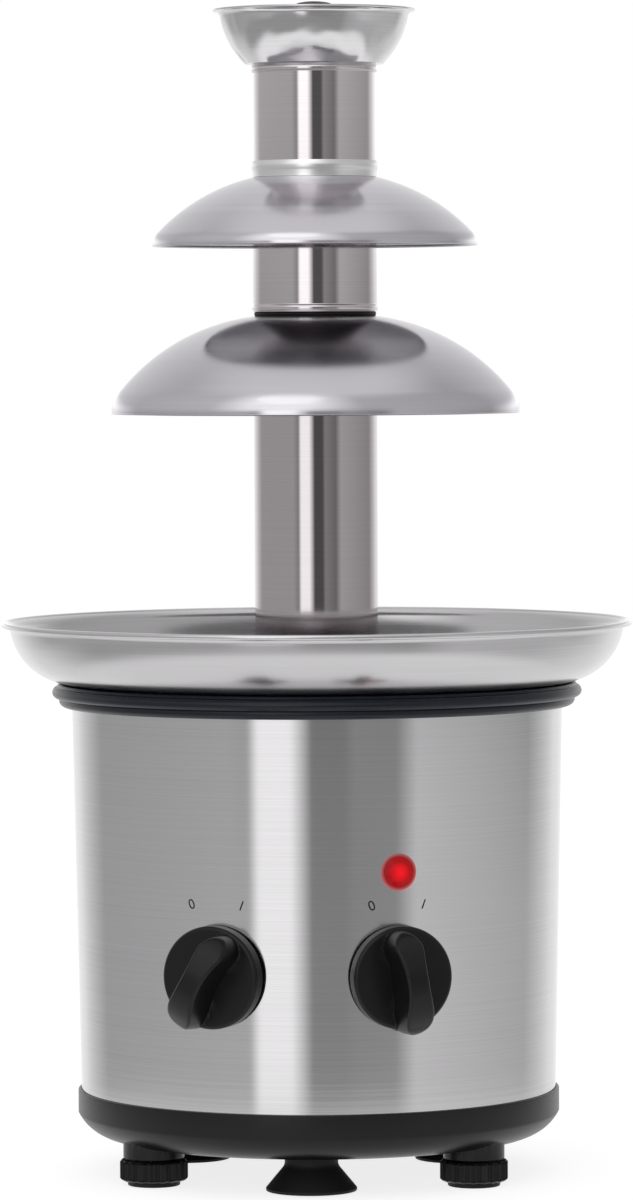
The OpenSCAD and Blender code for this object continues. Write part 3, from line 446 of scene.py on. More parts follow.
def math(tree, operation, *values):
    """A math node on outputs or numbers."""
    made = node(tree, "ShaderNodeMath", operation=operation)
    for socket, value in zip(made.inputs, values):
        feed(tree, value, socket)
    return made.outputs[0]


def mapped(tree, value, before, after, kind="LINEAR"):
    """A value mapped from one range to another."""
    made = node(tree, "ShaderNodeMapRange", interpolation_type=kind)
    tree.links.new(value, made.inputs["Value"])
    for label, number in zip(("From Min", "From Max", "To Min", "To Max"), (*before, *after)):
        made.inputs[label].default_value = number
    return made.outputs["Result"]


def blend(tree, mask, first, second):
    """A colour between two colours or outputs, by a mask."""
    made = node(tree, "ShaderNodeMix", data_type="RGBA")
    tree.links.new(mask, made.inputs["Factor"])
    feed(tree, first, made.inputs["A"])
    feed(tree, second, made.inputs["B"])
    return made.outputs["Result"]


def fill_ramp(ramp, stops):
    """Give a colour ramp its stops of (place, colour), in rising order."""
    elements = ramp.color_ramp.elements
    while len(elements) > 1:
        elements.remove(elements[0])
    elements[0].position = stops[-1][0]
    for place, _ in stops[:-1]:
        elements.new(place)
    for element, (_, tint) in zip(elements, stops):
        element.color = tint


def parts(tree, direction):
    """The three parts of a direction or a place."""
    split = node(tree, "ShaderNodeSeparateXYZ")
    tree.links.new(direction, split.inputs[0])
    return split.outputs


def object_place(tree):
    """The place on the piece."""
    return node(tree, "ShaderNodeTexCoord").outputs["Object"]


def noise(tree, vector, scale, detail):
    """A noise mask."""
    made = node(tree, "ShaderNodeTexNoise")
    tree.links.new(vector, made.inputs["Vector"])
    feed(tree, scale, made.inputs["Scale"])
    made.inputs["Detail"].default_value = detail
    return made.outputs["Fac"]


def new_group(name, inputs, outputs):
    """An empty shader group with named number sockets."""
    tree = bpy.data.node_groups.new(name, "ShaderNodeTree")
    for label, default in inputs.items():
        socket = tree.interface.new_socket(label, in_out="INPUT", socket_type="NodeSocketFloat")
        socket.default_value = default
    for label in outputs:
        tree.interface.new_socket(label, in_out="OUTPUT", socket_type="NodeSocketFloat")
    return tree, node(tree, "NodeGroupInput").outputs, node(tree, "NodeGroupOutput").inputs


def turned_grain():
    """Brush lines that run round the tower: close together along the wall, long round it."""
    name = "Turned grain"
    if name in bpy.data.node_groups:
        return bpy.data.node_groups[name]
    tree, given, result = new_group(name, {"Lines": 1500, "Run": 20, "Outward": 1}, ("Lines", "Smudge"))
    smudges = 28.0
    place = object_place(tree)
    x, y, z = parts(tree, place)
    reach = math(tree, "SQRT", math(tree, "ADD", math(tree, "MULTIPLY", x, x), math(tree, "MULTIPLY", y, y)))
    across = math(tree, "ADD", math(tree, "MULTIPLY", reach, given["Outward"]), z)
    stretched = node(tree, "ShaderNodeCombineXYZ")
    tree.links.new(math(tree, "MULTIPLY", x, given["Run"]), stretched.inputs[0])
    tree.links.new(math(tree, "MULTIPLY", y, given["Run"]), stretched.inputs[1])
    tree.links.new(math(tree, "MULTIPLY", across, given["Lines"]), stretched.inputs[2])
    tree.links.new(noise(tree, stretched.outputs[0], 1.0, 3.0), result["Lines"])
    tree.links.new(noise(tree, place, smudges, 3.0), result["Smudge"])
    return tree


def moulded_grain():
    """The fine, even grain of a moulded surface."""
    name = "Moulded grain"
    if name in bpy.data.node_groups:
        return bpy.data.node_groups[name]
    tree, given, result = new_group(name, {"Grains": 2500}, ("Grain", "Smudge"))
    smudges = 60.0
    place = object_place(tree)
    tree.links.new(noise(tree, place, given["Grains"], 2.0), result["Grain"])
    tree.links.new(noise(tree, place, smudges, 3.0), result["Smudge"])
    return tree


def new_finish(name, group, **inputs):
    """A material with a shader, and a shared group with its own values."""
    material = bpy.data.materials.new(name)
    material.use_nodes = True
    tree = material.node_tree
    grain = node(tree, "ShaderNodeGroup", node_tree=group)
    for label, value in inputs.items():
        grain.inputs[label].default_value = value
    return material, tree, tree.nodes["Principled BSDF"], grain.outputs


def bump(tree, height, depth):
    """A relief of a depth in metres."""
    made = node(tree, "ShaderNodeBump")
    made.inputs["Strength"].default_value = 1.0
    made.inputs["Distance"].default_value = depth
    tree.links.new(height, made.inputs["Height"])
    return made.outputs["Normal"]


def metal(name, bright, shade, rough, lines, run, outward, depth, stretch=0.0):
    """Turned or brushed metal, whose lines run round the tower and stretch its highlights across them."""
    material, tree, shader, grain = new_finish(name, turned_grain(), Lines=lines, Run=run, Outward=outward)
    tree.links.new(blend(tree, grain["Lines"], opaque(shade), opaque(bright)), shader.inputs["Base Color"])
    smudged = (rough * (1 - SMUDGE_WEAR), rough * (1 + SMUDGE_WEAR))
    worn = math(tree, "ADD", mapped(tree, grain["Lines"], WHOLE, (-LINE_WEAR, LINE_WEAR)),
                mapped(tree, grain["Smudge"], WHOLE, smudged))
    tree.links.new(worn, shader.inputs["Roughness"])
    shader.inputs["Metallic"].default_value = 1.0
    if stretch:
        shader.inputs["Anisotropic"].default_value = stretch
        shader.inputs["Anisotropic Rotation"].default_value = ACROSS
        round_axis = node(tree, "ShaderNodeTangent", direction_type="RADIAL", axis="Z")
        tree.links.new(round_axis.outputs[0], shader.inputs["Tangent"])
    tree.links.new(bump(tree, grain["Lines"], depth), shader.inputs["Normal"])
    return material


def dull_and_shaded_underside(material):
    """Leave the underside of a polished sheet darker, by the way its faces point: partly a duller unpolished
    finish, partly painted shade.
    """
    tree = material.node_tree
    base = tree.nodes["Principled BSDF"].inputs["Base Color"]
    z = parts(tree, node(tree, "ShaderNodeNewGeometry").outputs["Normal"])["Z"]
    downward = mapped(tree, z, DULL_AND_SHADED_TURN, WHOLE, "SMOOTHSTEP")
    tree.links.new(blend(tree, downward, base.links[0].from_socket, grey(DULL_AND_SHADED_UNDERSIDE)), base)
    return material


def uneven_metal(material):
    """Spun metal whose wall is slightly uneven, so that it bends what it mirrors."""
    tree = material.node_tree
    fine = tree.nodes["Principled BSDF"].inputs["Normal"].links[0].from_node
    dents = bump(tree, noise(tree, object_place(tree), DENTS, 1.0), DENT_DEPTH)
    tree.links.new(dents, fine.inputs["Normal"])
    return material


def tinted(shades, tint):
    """Shades of metal with a tint."""
    return [tuple(c * t for c, t in zip(shade, tint)) for shade in shades]


def moulding(name, base, rough, grains, depth, specular):
    """Moulded plastic or rubber."""
    material, tree, shader, grain = new_finish(name, moulded_grain(), Grains=grains)
    pale = [min(1.0, c * MOULD_PALE) for c in base]
    deep = [c * MOULD_DEEP for c in base]
    tree.links.new(blend(tree, grain["Smudge"], opaque(deep), opaque(pale)), shader.inputs["Base Color"])
    worn = mapped(tree, grain["Grain"], WHOLE, (rough - MOULD_WEAR, rough + MOULD_WEAR))
    tree.links.new(worn, shader.inputs["Roughness"])
    shader.inputs["Specular IOR Level"].default_value = specular
    tree.links.new(bump(tree, grain["Grain"], depth), shader.inputs["Normal"])
    return material


def lamp_finish(name):
    """The lit lens and its bezel: bright over the bulb, deep red towards the lens's edge, and a pink glow of the
    lamp painted on the bezel outside it.
    """
    material, tree, shader, grain = new_finish(name, moulded_grain(), Grains=900)
    lit = tone("lamp")
    deep_share = 0.38
    unlit_share = 0.05
    gloss = (0.12, 0.22)
    width = high("lamp_lens").z - low("lamp_lens").z
    away = node(tree, "ShaderNodeVectorMath", operation="DISTANCE")
    tree.links.new(object_place(tree), away.inputs[0])
    away.inputs[1].default_value = middle("lamp_lens")
    glow = node(tree, "ShaderNodeValToRGB")
    tree.links.new(math(tree, "DIVIDE", away.outputs["Value"], width), glow.inputs[0])
    # Beyond the lens's edge the ramp paints the lamp's pink glow on the bezel
    fill_ramp(glow, ((0.10, opaque(lit)), (0.38, opaque(c * deep_share for c in lit)),
                     (0.52, opaque(tone("lamp_edge"))), (0.66, opaque(tone("painted_lamp_glow")))))
    tree.links.new(glow.outputs["Color"], shader.inputs["Emission Color"])
    shader.inputs["Emission Strength"].default_value = 0.95
    shader.inputs["Base Color"].default_value = opaque(c * unlit_share for c in lit)
    shader.inputs["Specular IOR Level"].default_value = 0.08
    tree.links.new(mapped(tree, grain["Smudge"], WHOLE, gloss), shader.inputs["Roughness"])
    return material


def finish(slot):
    """The finish of a slot or a look, made when it is first asked for."""
    name = slot + "_finish"
    if name in bpy.data.materials:
        return bpy.data.materials[name]
    steel = (tone("steel"), tone("steel_shade"))
    turned = {"lines": 2200, "run": 8, "outward": 1, "depth": 0.003 * MM, "stretch": 0.75}
    spun = {"lines": 2200, "run": 6, "outward": 0, "depth": 0.002 * MM}
    if slot == "brushed_steel":
        return metal(name, *steel, rough=0.11, lines=2600, run=6, outward=0, depth=0.004 * MM, stretch=0.8)
    if slot == "satin_steel":
        return metal(name, *steel, rough=0.22, **turned)
    if slot == "canopy_steel":
        # The canopies' undersides are painted darker: partly a duller finish, partly painted shade
        return dull_and_shaded_underside(metal(name, *tinted(steel, COOL), rough=0.17, **turned))
    if slot == "uneven_steel":
        return uneven_metal(metal(name, *steel, rough=0.14, **spun))
    # The band's steel is painted brighter than the tubes': a painted sheen
    if slot == "bright_steel":
        return metal(name, tone("band"), tone("sheen_painted_band_shade"), rough=0.3, **spun)
    if slot == "polished_steel":
        return metal(name, *tinted(steel, WARM), rough=0.06, **spun)
    if slot == "plated_steel":
        return metal(name, tone("plated"), tone("plated_shade"), rough=0.32, lines=900, run=60, outward=1,
                     depth=0.003 * MM)
    if slot == "aluminium":
        return metal(name, tone("aluminium"), tone("aluminium_shade"), rough=0.42, lines=500, run=500,
                     outward=1, depth=0.02 * MM)
    if slot == "brass":
        return metal(name, tone("brass"), tone("brass_shade"), rough=0.26, lines=1600, run=40, outward=1,
                     depth=0.004 * MM)
    if slot == "copper":
        return metal(name, tone("copper"), tone("copper_shade"), rough=0.34, lines=1400, run=30, outward=0,
                     depth=0.05 * MM)
    if slot == "ferrite":
        return moulding(name, tone("ferrite"), rough=0.6, grains=1200, depth=0.02 * MM, specular=0.4)
    if slot == "black_plastic":
        return moulding(name, tone("black"), rough=0.32, grains=1600, depth=0.004 * MM, specular=0.26)
    if slot == "collar_black":
        return moulding(name, tone("collar"), rough=0.30, grains=1600, depth=0.004 * MM, specular=0.32)
    if slot == "cream_plastic":
        return moulding(name, tone("cream"), rough=0.45, grains=1400, depth=0.006 * MM, specular=0.5)
    if slot == "rubber":
        return moulding(name, tone("rubber"), rough=0.55, grains=1100, depth=0.012 * MM, specular=0.24)
    if slot == "lamp_red":
        return lamp_finish(name)
    raise ValueError("no finish is named " + slot)


# Pieces

class FOUNTAIN_OT_inner(bpy.types.Operator):
    """Finish the CAD pieces that keep their own shape"""

    bl_idname = "fountain.inner"
    bl_label = "Inner pieces"

    def execute(self, context):
        for part in frame["record"]["subparts"]:
            mesh = frame["nodes"][part["node"]].data
            mesh.materials.clear()
            mesh.materials.append(finish(part["material_slot"]))
        return {"FINISHED"}


def band_outline(foot, height):
    """Outline of a rounded band that stands out from a tube."""
    radius = high("lower_tube").x
    swing = degrees(asin(0.5))
    line = arc((radius + sizes().bead_reach - height, foot + height / 2), height, -swing, swing)
    return [p for p in line if p[0] >= radius]


def tube_outline(bottom, shoulder, beads, stepped):
    """Outline of a tube with beads at some heights and, if stepped, a spigot above its shoulder."""
    size = sizes()
    radius = high("lower_tube").x
    bore = radius - size.tube_wall
    outline = [(bore, bottom), (radius, bottom)]
    for foot in beads:
        outline += band_outline(foot, size.bead_height)
    if not stepped:
        return outline + [(radius, shoulder), (bore, shoulder)]
    spigot = bore - size.tube_fit
    spigot_bore = spigot - size.tube_wall + size.tube_fit
    top = shoulder + size.spigot
    seat = shoulder - size.tube_wall
    edge = 0.4 * MM
    steps = rounded([(radius, shoulder - 2 * edge, 0), (radius, shoulder, edge), (spigot, shoulder, edge / 2),
                     (spigot, top, edge / 2), (spigot_bore, top, edge / 4), (spigot_bore, seat, edge / 4),
                     (bore, seat, edge / 4), (bore, bottom, 0)])
    return outline + steps[:-1]


class FOUNTAIN_OT_tubes(bpy.types.Operator):
    """Model the three tubes of the tower, with the gasket under the middle one"""

    bl_idname = "fountain.tubes"
    bl_label = "Tubes"

    def cut_notches(self, tube):
        """Cut the inlet notches into a tube's foot."""
        size = sizes()
        radius = high("lower_tube").x
        count = 3
        notches = []
        for i in range(count):
            bpy.ops.object.select_all(action="DESELECT")
            bpy.ops.mesh.primitive_cube_add(size=1, location=(radius, 0, low("lower_tube").z))
            notch = bpy.context.active_object
            notch.scale = (radius, size.notch_width, 2 * size.notch_height)
            notches.append(settle(notch, Matrix.Rotation(2 * pi * i / count, 4, "Z")))
        combine(tube, notches, "DIFFERENCE")

    def execute(self, context):
        size = sizes()
        radius = high("lower_tube").x
        shoulder = high("lower_tube").z - size.spigot
        lower = lathe("lower_tube_shell", tube_outline(low("lower_tube").z, shoulder, [], True))
        self.cut_notches(lower)
        dress(lower, "polished_steel", "lower_tube", "lower_tube")

        bottom = low("middle_tube").z
        shoulder = high("middle_tube").z - size.spigot
        middle_tube = lathe("middle_tube_shell", tube_outline(bottom, shoulder, [bottom], True))
        dress(middle_tube, "polished_steel", "middle_tube", "middle_tube")

        bottom = low("upper_tube").z
        top = high("upper_tube").z
        bead_foot = top - size.bead_height - size.bead_reach
        upper = lathe("upper_tube_shell", tube_outline(bottom, top, [bead_foot], False))
        dress(upper, "polished_steel", "upper_tube", "upper_tube")
        skirt = radius + size.bead_reach / 3
        inside = radius - size.tube_wall / 2
        crest = band_outline(bottom + size.bead_height / 2, size.band_height)
        foot = [(inside, bottom), (skirt, bottom)]
        # The band at the upper tube's foot gets the painted sheen
        band = lathe("upper_tube_band", foot + crest + [(inside, crest[-1][1])])
        dress(band, "polished_steel", "upper_tube", look="bright_steel")

        ring = high("tier_gasket")
        base = low("tier_gasket").z
        inner = radius - size.tube_wall
        soft = 0.5 * MM
        gasket = lathe("tier_gasket_ring", rounded([
            (inner, base, 0), (ring.x, base, soft), (ring.x, ring.z, soft), (inner, ring.z, 0)]))
        dress(gasket, "rubber", "lower_canopy", "tier_gasket")
        return {"FINISHED"}


# Radius of a canopy's rolled hem, for each sheet thickness
HEM = 0.65


def dome_depth(near, far, drop, edge):
    """Depth of a dome's centre below its rim: it starts at near, ends in an edge at far and is drop high."""
    k = near ** 2 + drop ** 2 + edge ** 2 - far ** 2
    a = 4 * (drop ** 2 - edge ** 2)
    b = 4 * drop * (k - 2 * edge ** 2)
    c = k ** 2 - 4 * edge ** 2 * (near ** 2 + drop ** 2)
    return (sqrt(b * b - 4 * a * c) - b) / (2 * a)


def canopy_line(canopy, crown, edge):
    """Middle line of a canopy, from its hole over the dome and the turned-down edge to its rim."""
    size = sizes()
    half = size.sheet / 2
    hem = size.sheet * HEM
    tube = high("lower_tube").x
    rim = high(canopy).x
    rim_z = low(canopy).z + size.rim_height
    drop = high(canopy).z - rim_z
    near = tube - crown
    far = rim - edge - crown
    depth = dome_depth(near, far, drop, edge)
    dome = edge + hypot(far, depth)
    start = degrees(atan2(drop + depth, near))
    turn = degrees(atan2(depth, far))
    line = [(tube - size.tube_wall, high(canopy).z - half)]
    line += arc((crown, rim_z - depth), dome - half, start, turn)
    line += arc((rim - edge, rim_z), edge - half, turn, 0)[1:]
    return line + [(rim - hem, low(canopy).z + hem)]


class FOUNTAIN_OT_canopies(bpy.types.Operator):
    """Model the two domed canopies"""

    bl_idname = "fountain.canopies"
    bl_label = "Canopies"

    def execute(self, context):
        size = sizes()
        domes = (("lower_canopy", size.lower_crown, size.lower_edge),
                 ("upper_canopy", size.upper_crown, size.upper_edge))
        for name, crown, edge in domes:
            line = canopy_line(name, crown, edge)
            shell = lathe(name + "_dome", sheet_outline(line, size.sheet, size.sheet * HEM))
            dress(shell, "satin_steel", name, name, look="canopy_steel")
        return {"FINISHED"}


class FOUNTAIN_OT_cup(bpy.types.Operator):
    """Model the flared cup on top of the tower"""

    bl_idname = "fountain.cup"
    bl_label = "Top cup"

    def execute(self, context):
        size = sizes()
        half = size.sheet / 2
        tip = half * 1.05
        rim = high("top_cup")
        bottom = low("top_cup").z
        seat = bottom + size.spigot
        roll_z = rim.z - size.sheet - size.cup_roll
        wall = rim.x - size.cup_roll - half
        curve_z = seat + size.cup_curve * 0.7
        center = (wall - sqrt(size.cup_curve ** 2 - (curve_z - roll_z) ** 2), curve_z)
        radius = size.cup_curve - half
        start = -degrees(asin((curve_z - seat - half) / radius))
        end = -degrees(asin((curve_z - roll_z) / radius))
        flare = arc(center, radius, start, end)
        roll_start = 170
        roll = arc((rim.x - half, roll_z), size.cup_roll + half, roll_start, 90)
        spigot = high("lower_tube").x - size.tube_wall - size.tube_fit - half
        neck = rounded([(spigot, bottom, 0), (spigot, seat + half, half), (*flare[0], 0)])
        cup = lathe("top_cup_shell", sheet_outline(neck[:-1] + flare + roll, size.sheet, tip))
        dress(cup, "polished_steel", "top_cup", "top_cup", look="uneven_steel")
        return {"FINISHED"}


class FOUNTAIN_OT_bowl(bpy.types.Operator):
    """Model the bowl with its rolled lip"""

    bl_idname = "fountain.bowl"
    bl_label = "Bowl"

    def execute(self, context):
        size = sizes()
        half = size.bowl_sheet / 2
        rim = high("bowl")
        floor = low("bowl").z
        roll_r = rim.x - size.bowl_bead
        roll_z = rim.z - size.bowl_bead - half - size.bowl_roll
        curve_z = floor + size.bowl_curve
        wall = roll_r - size.bowl_roll
        curve_r = wall - sqrt(size.bowl_curve ** 2 - (curve_z - roll_z) ** 2)
        end = -degrees(asin((curve_z - roll_z) / size.bowl_curve))
        line = [(size.hub_radius, floor + half)]
        line += arc((curve_r, curve_z), size.bowl_curve - half, -90, end)
        roll_start = 172
        line += arc((roll_r, roll_z), size.bowl_roll + half, roll_start, 90)
        bowl = lathe("bowl_shell", sheet_outline(line, size.bowl_sheet, size.bowl_bead), WIDE_STEPS)
        dress(bowl, "satin_steel", "base", "bowl")
        return {"FINISHED"}


class FOUNTAIN_OT_collar(bpy.types.Operator):
    """Model the ribbed collar ring under the bowl"""

    bl_idname = "fountain.collar"
    bl_label = "Collar ring"

    def execute(self, context):
        size = sizes()
        foot = low("collar_ring").z
        top = high("collar_ring").z
        sleeve = sleeve_radius(foot)
        reach = size.collar_reach
        body = sleeve + reach / 2
        rib = 1.925 * MM
        fine_rib = 1.28 * MM
        fine_reach = 0.76 * reach
        broad_z = foot + 2.4 * rib
        ribs = [(body - rib / 2, foot + rib, rib), (sleeve + reach - rib, broad_z, rib),
                (sleeve + fine_reach - fine_rib, top - fine_rib, fine_rib)]
        rows = 72
        outer = []
        for i in range(rows + 1):
            z = foot + (top - foot) * i / rows
            bulges = [r + sqrt(b * b - (z - c) ** 2) for r, c, b in ribs if abs(z - c) < b]
            outer.append((max([body - rib / 4] + bulges), z))
        gap = size.tube_fit
        inner = sleeve - size.collar_depth
        groove_top = foot + size.sleeve_seat + gap
        groove_in = sleeve - size.sleeve_sheet - gap
        groove_out = sleeve + 2 * gap
        ledge = low("bowl").z - gap
        ledge_end = ribs[2][0]
        outline = [(inner, foot), (groove_in, foot), (groove_in, groove_top), (groove_out, groove_top),
                   (groove_out, foot)] + outer
        outline += [(ledge_end, top), (ledge_end - fine_rib, ledge), (inner, ledge)]
        collar = lathe("collar_ring_moulding", outline, WIDE_STEPS)
        dress(collar, "black_plastic", "base", "collar_ring", look="collar_black")
        return {"FINISHED"}


class FOUNTAIN_OT_sleeve(bpy.types.Operator):
    """Model the steel sleeve with the holes for its controls and its cord gland"""

    bl_idname = "fountain.sleeve"
    bl_label = "Housing sleeve"

    def execute(self, context):
        bottom = low("housing_sleeve").z
        top = high("housing_sleeve").z
        rows = 40
        levels = [bottom + (top - bottom) * i / rows for i in range(rows + 1)]
        outer = [(sleeve_radius(z), z) for z in levels]
        inner = [(r - sizes().sleeve_sheet, z) for r, z in reversed(outer)]
        sleeve = lathe("housing_sleeve_shell", outer + inner, WIDE_STEPS)
        switch_hole = 5.12 * MM
        lamp_hole = 5.02 * MM
        gland_hole = 6.12 * MM
        depth = 8 * MM
        holes = [(front_angle(knob_axis(knob)), knob_axis(knob)[2], switch_hole) for knob in KNOBS]
        holes.append((front_angle(middle("lamp_lens")), middle("lamp_lens").z, lamp_hole))
        holes.append((pi, middle("cord_gland").z, gland_hole))
        tools = []
        for angle, z, radius in holes:
            tools.append(settle(rod(radius, -depth, depth), facing(angle, z, sleeve_radius(z))))
        combine(sleeve, tools, "DIFFERENCE")
        dress(sleeve, "brushed_steel", "base", "housing_sleeve")
        return {"FINISHED"}


class FOUNTAIN_OT_tray(bpy.types.Operator):
    """Model the base tray with its bosses and holes"""

    bl_idname = "fountain.tray"
    bl_label = "Base tray"

    def execute(self, context):
        size = sizes()
        radius = high("base_tray").x
        top = high("base_tray").z
        boss_foot = low("base_tray").z
        bottom = boss_foot + size.boss_height
        floor = bottom + size.tray_floor
        gap = size.tube_fit
        edge = 0.5 * MM
        wall_in = radius - size.tray_wall
        groove_foot = top - size.sleeve_seat - gap
        groove_out = sleeve_radius(top) + gap
        groove_in = sleeve_radius(groove_foot) - size.sleeve_sheet - gap
        center = (radius - size.tray_reach, bottom + size.tray_round)
        under = degrees(asin(size.tray_reach / size.tray_round))
        inside = size.tray_round - size.tray_floor
        over = degrees(asin((wall_in - center[0]) / inside))
        outline = [(0, bottom)] + arc(center, size.tray_round, -90, under - 90)
        outline += rounded([(*outline[-1], 0), (radius, top, edge), (groove_out, top, 0)])[1:]
        outline += [(groove_out, groove_foot), (groove_in, groove_foot), (groove_in, top)]
        outline += rounded([(groove_in, top, 0), (wall_in, top, edge), (wall_in, floor, 0)])[1:-1]
        outline += arc(center, inside, over - 90, -90) + [(0, floor)]
        tray = lathe("base_tray_moulding", outline, WIDE_STEPS)
        boss_radius = size.level_radius - 0.8 * MM
        boss_top = floor + 1 * MM
        stud_hole = size.stud_radius + 2 * MM
        bosses = []
        cuts = []
        for side in LEVEL_SIDES:
            foot = middle("levelling_pad_" + side)
            bosses.append(rod(boss_radius, boss_foot, boss_top, foot))
            cuts.append(rod(stud_hole, boss_foot - edge, top, foot))
        combine(tray, bosses, "UNION")
        for side in SUCTION_SIDES:
            cuts.append(rod(size.plug_radius, boss_foot, top, middle("suction_cup_" + side)))
        combine(tray, cuts, "DIFFERENCE")
        dress(tray, "black_plastic", "base", "base_tray")
        return {"FINISHED"}


def grip_form(x, y, z):
    """Place of a point of a unit cube on a knob's waisted and crowned grip."""
    size = sizes()
    head = size.knob_radius - 1 * MM
    tail = size.knob_radius + size.grip_tail
    end = size.grip_width / 2
    foot = size.skirt_height - 2 * MM
    crown = 1.2 * size.knob_radius
    edge = 1.1 * MM
    flank_curve = 80 * MM
    narrowing = 0.18
    top_face = 0.499
    across = sin(x * pi)
    along = (head - tail) / 2 + sin(y * pi) * (head + tail) / 2
    flank = min(end, size.grip_waist / 2 + along * along / flank_curve)
    beyond = max(along - (head - end), (end - tail) - along, 0.0)
    width = min(flank, sqrt(max(end * end - beyond * beyond, 0.0)))
    out = across * width
    inset = end - hypot(out, beyond) if beyond > 0 else width - abs(out)
    out *= 1.0 - narrowing * (z + 0.5)
    top = size.knob_height - crown + sqrt(crown * crown - along * along)
    if z > top_face:
        rounding = sqrt(edge * edge - (edge - min(inset, edge)) ** 2)
        return Vector((out, along, top - edge + rounding))
    return Vector((out, along, foot + (z + 0.5) * (top - edge - foot)))


def wing_knob(name):
    """A knob with its axis on +Z: a skirt and a crowned wing to hold."""
    size = sizes()
    radius = size.knob_radius
    top = size.skirt_height
    dish = top - 0.3 * MM
    shoulder = radius - 3 * MM
    recess = 9 * MM
    recess_top = 3 * MM
    skirt = lathe(name, rounded([
        (0, dish, 0), (shoulder, top, 2 * MM), (radius, top, 1.2 * MM), (radius, 0, 0.4 * MM),
        (recess, 0, 0.2 * MM), (recess, recess_top, 0), (0, recess_top, 0)]), KNOB_STEPS)
    bpy.ops.object.select_all(action="DESELECT")
    bpy.ops.mesh.primitive_cube_add(size=1)
    grip = bpy.context.active_object
    bpy.ops.object.mode_set(mode="EDIT")
    bpy.ops.mesh.subdivide(number_cuts=GRIP_CUTS)
    bpy.ops.object.mode_set(mode="OBJECT")
    for vertex in grip.data.vertices:
        vertex.co = grip_form(*vertex.co)
    bpy.ops.object.mode_set(mode="EDIT")
    clean()
    return combine(skirt, [grip], "UNION")


class FOUNTAIN_OT_knobs(bpy.types.Operator):
    """Model the two wing knobs"""

    bl_idname = "fountain.knobs"
    bl_label = "Knobs"

    def execute(self, context):
        size = sizes()
        model = wing_knob("knob_model")
        turns = {"motor_knob": radians(-30), "heat_knob": radians(10)}
        for name in KNOBS:
            place = knob_axis(name)
            foot = sleeve_radius(place[2] + size.knob_radius) + size.knob_gap
            matrix = facing(front_angle(place), place[2], foot) @ Matrix.Rotation(turns[name], 4, "Z")
            dress(copy_piece(model, name + "_wing", matrix), "black_plastic", name, name)
        bpy.data.objects.remove(model)
        return {"FINISHED"}


class FOUNTAIN_OT_marks(bpy.types.Operator):
    """Print plain numerals over the knobs"""

    bl_idname = "fountain.marks"
    bl_label = "Knob marks"

    def print_mark(self, knob, text, side):
        """Print a numeral to one side above a knob."""
        size = sizes()
        lean = radians(21)
        thickness = 0.02 * MM
        letter_share = 0.7
        bpy.ops.object.select_all(action="DESELECT")
        bpy.ops.object.text_add()
        mark = bpy.context.active_object
        mark.name = knob + "_mark_" + text
        mark.data.body = text
        mark.data.size = size.mark_height / letter_share
        mark.data.extrude = thickness
        mark.data.align_x = "CENTER"
        mark.data.align_y = "CENTER"
        bpy.ops.object.convert(target="MESH")
        place = knob_axis(knob)
        z = place[2] + size.mark_radius * cos(lean)
        angle = front_angle(place) + side * size.mark_radius * sin(lean) / sleeve_radius(z)
        settle(mark, facing(angle, z, sleeve_radius(z) + thickness) @ Matrix.Rotation(-side * lean, 4, "Z"))
        dress(mark, "black_plastic", "base")

    def execute(self, context):
        for knob in KNOBS:
            self.print_mark(knob, "0", -1)
            self.print_mark(knob, "1", 1)
        return {"FINISHED"}


class FOUNTAIN_OT_lamp(bpy.types.Operator):
    """Model the pilot lamp's lens and bezel"""

    bl_idname = "fountain.lamp"
    bl_label = "Lamp"

    def execute(self, context):
        lens = middle("lamp_lens")
        lens_height = 2.6 * MM
        radius = (high("lamp_lens").z - low("lamp_lens").z) / 2
        foot = hypot(lens.x, lens.y) - lens_height / 2
        place = facing(front_angle(lens), lens.z, foot)
        dome = radius * 1.6
        swing = degrees(asin(radius / dome))
        cap = arc((0, lens_height - dome), dome, 90, 90 - swing)
        glass = lathe("lamp_lens_dome", [(0, lens_height)] + cap[1:] + [(radius, 0), (0, 0)], SMALL_STEPS)
        dress(settle(glass, place), "lamp_red", "base", "lamp_lens")
        soft = 0.45 * MM
        body = radius + 0.3 * MM
        depth = 15 * MM
        holder = lathe("lamp_holder", rounded([
            (0, 0, 0), (body, 0, 0), (body, -depth, soft), (0, -depth, 0)]), SMALL_STEPS)
        dress(settle(holder, place), "cream_plastic", "base", "lamp_body")
        bezel = radius + 1.3 * MM
        rise = 1.1 * MM
        ring = lathe("lamp_bezel", rounded([
            (radius, 0, 0), (radius, rise, soft), (bezel, rise, soft), (bezel, 0, 0)]), SMALL_STEPS)
        # The bezel takes the lens's finish, which paints the lamp's pink glow on it
        dress(settle(ring, place), "lamp_red", "base")
        return {"FINISHED"}


class FOUNTAIN_OT_gland(bpy.types.Operator):
    """Model the cord gland at the back"""

    bl_idname = "fountain.gland"
    bl_label = "Cord gland"

    def execute(self, context):
        bore = 3.5 * MM
        barrel = bore + 2.5 * MM
        flange = (high("cord_gland").x - low("cord_gland").x) / 2
        thickness = 2.4 * MM
        depth = high("cord_gland").y - low("cord_gland").y - thickness
        soft = 0.8 * MM
        gland = lathe("cord_gland_moulding", rounded([
            (bore, -depth, 0), (bore, thickness, soft), (flange, thickness, soft), (flange, 0, 0.2 * MM),
            (barrel, 0, 0), (barrel, -depth, 0)]), SMALL_STEPS)
        settle(gland, facing(pi, middle("cord_gland").z, high("cord_gland").y - thickness))
        dress(gland, "black_plastic", "base", "cord_gland")
        return {"FINISHED"}


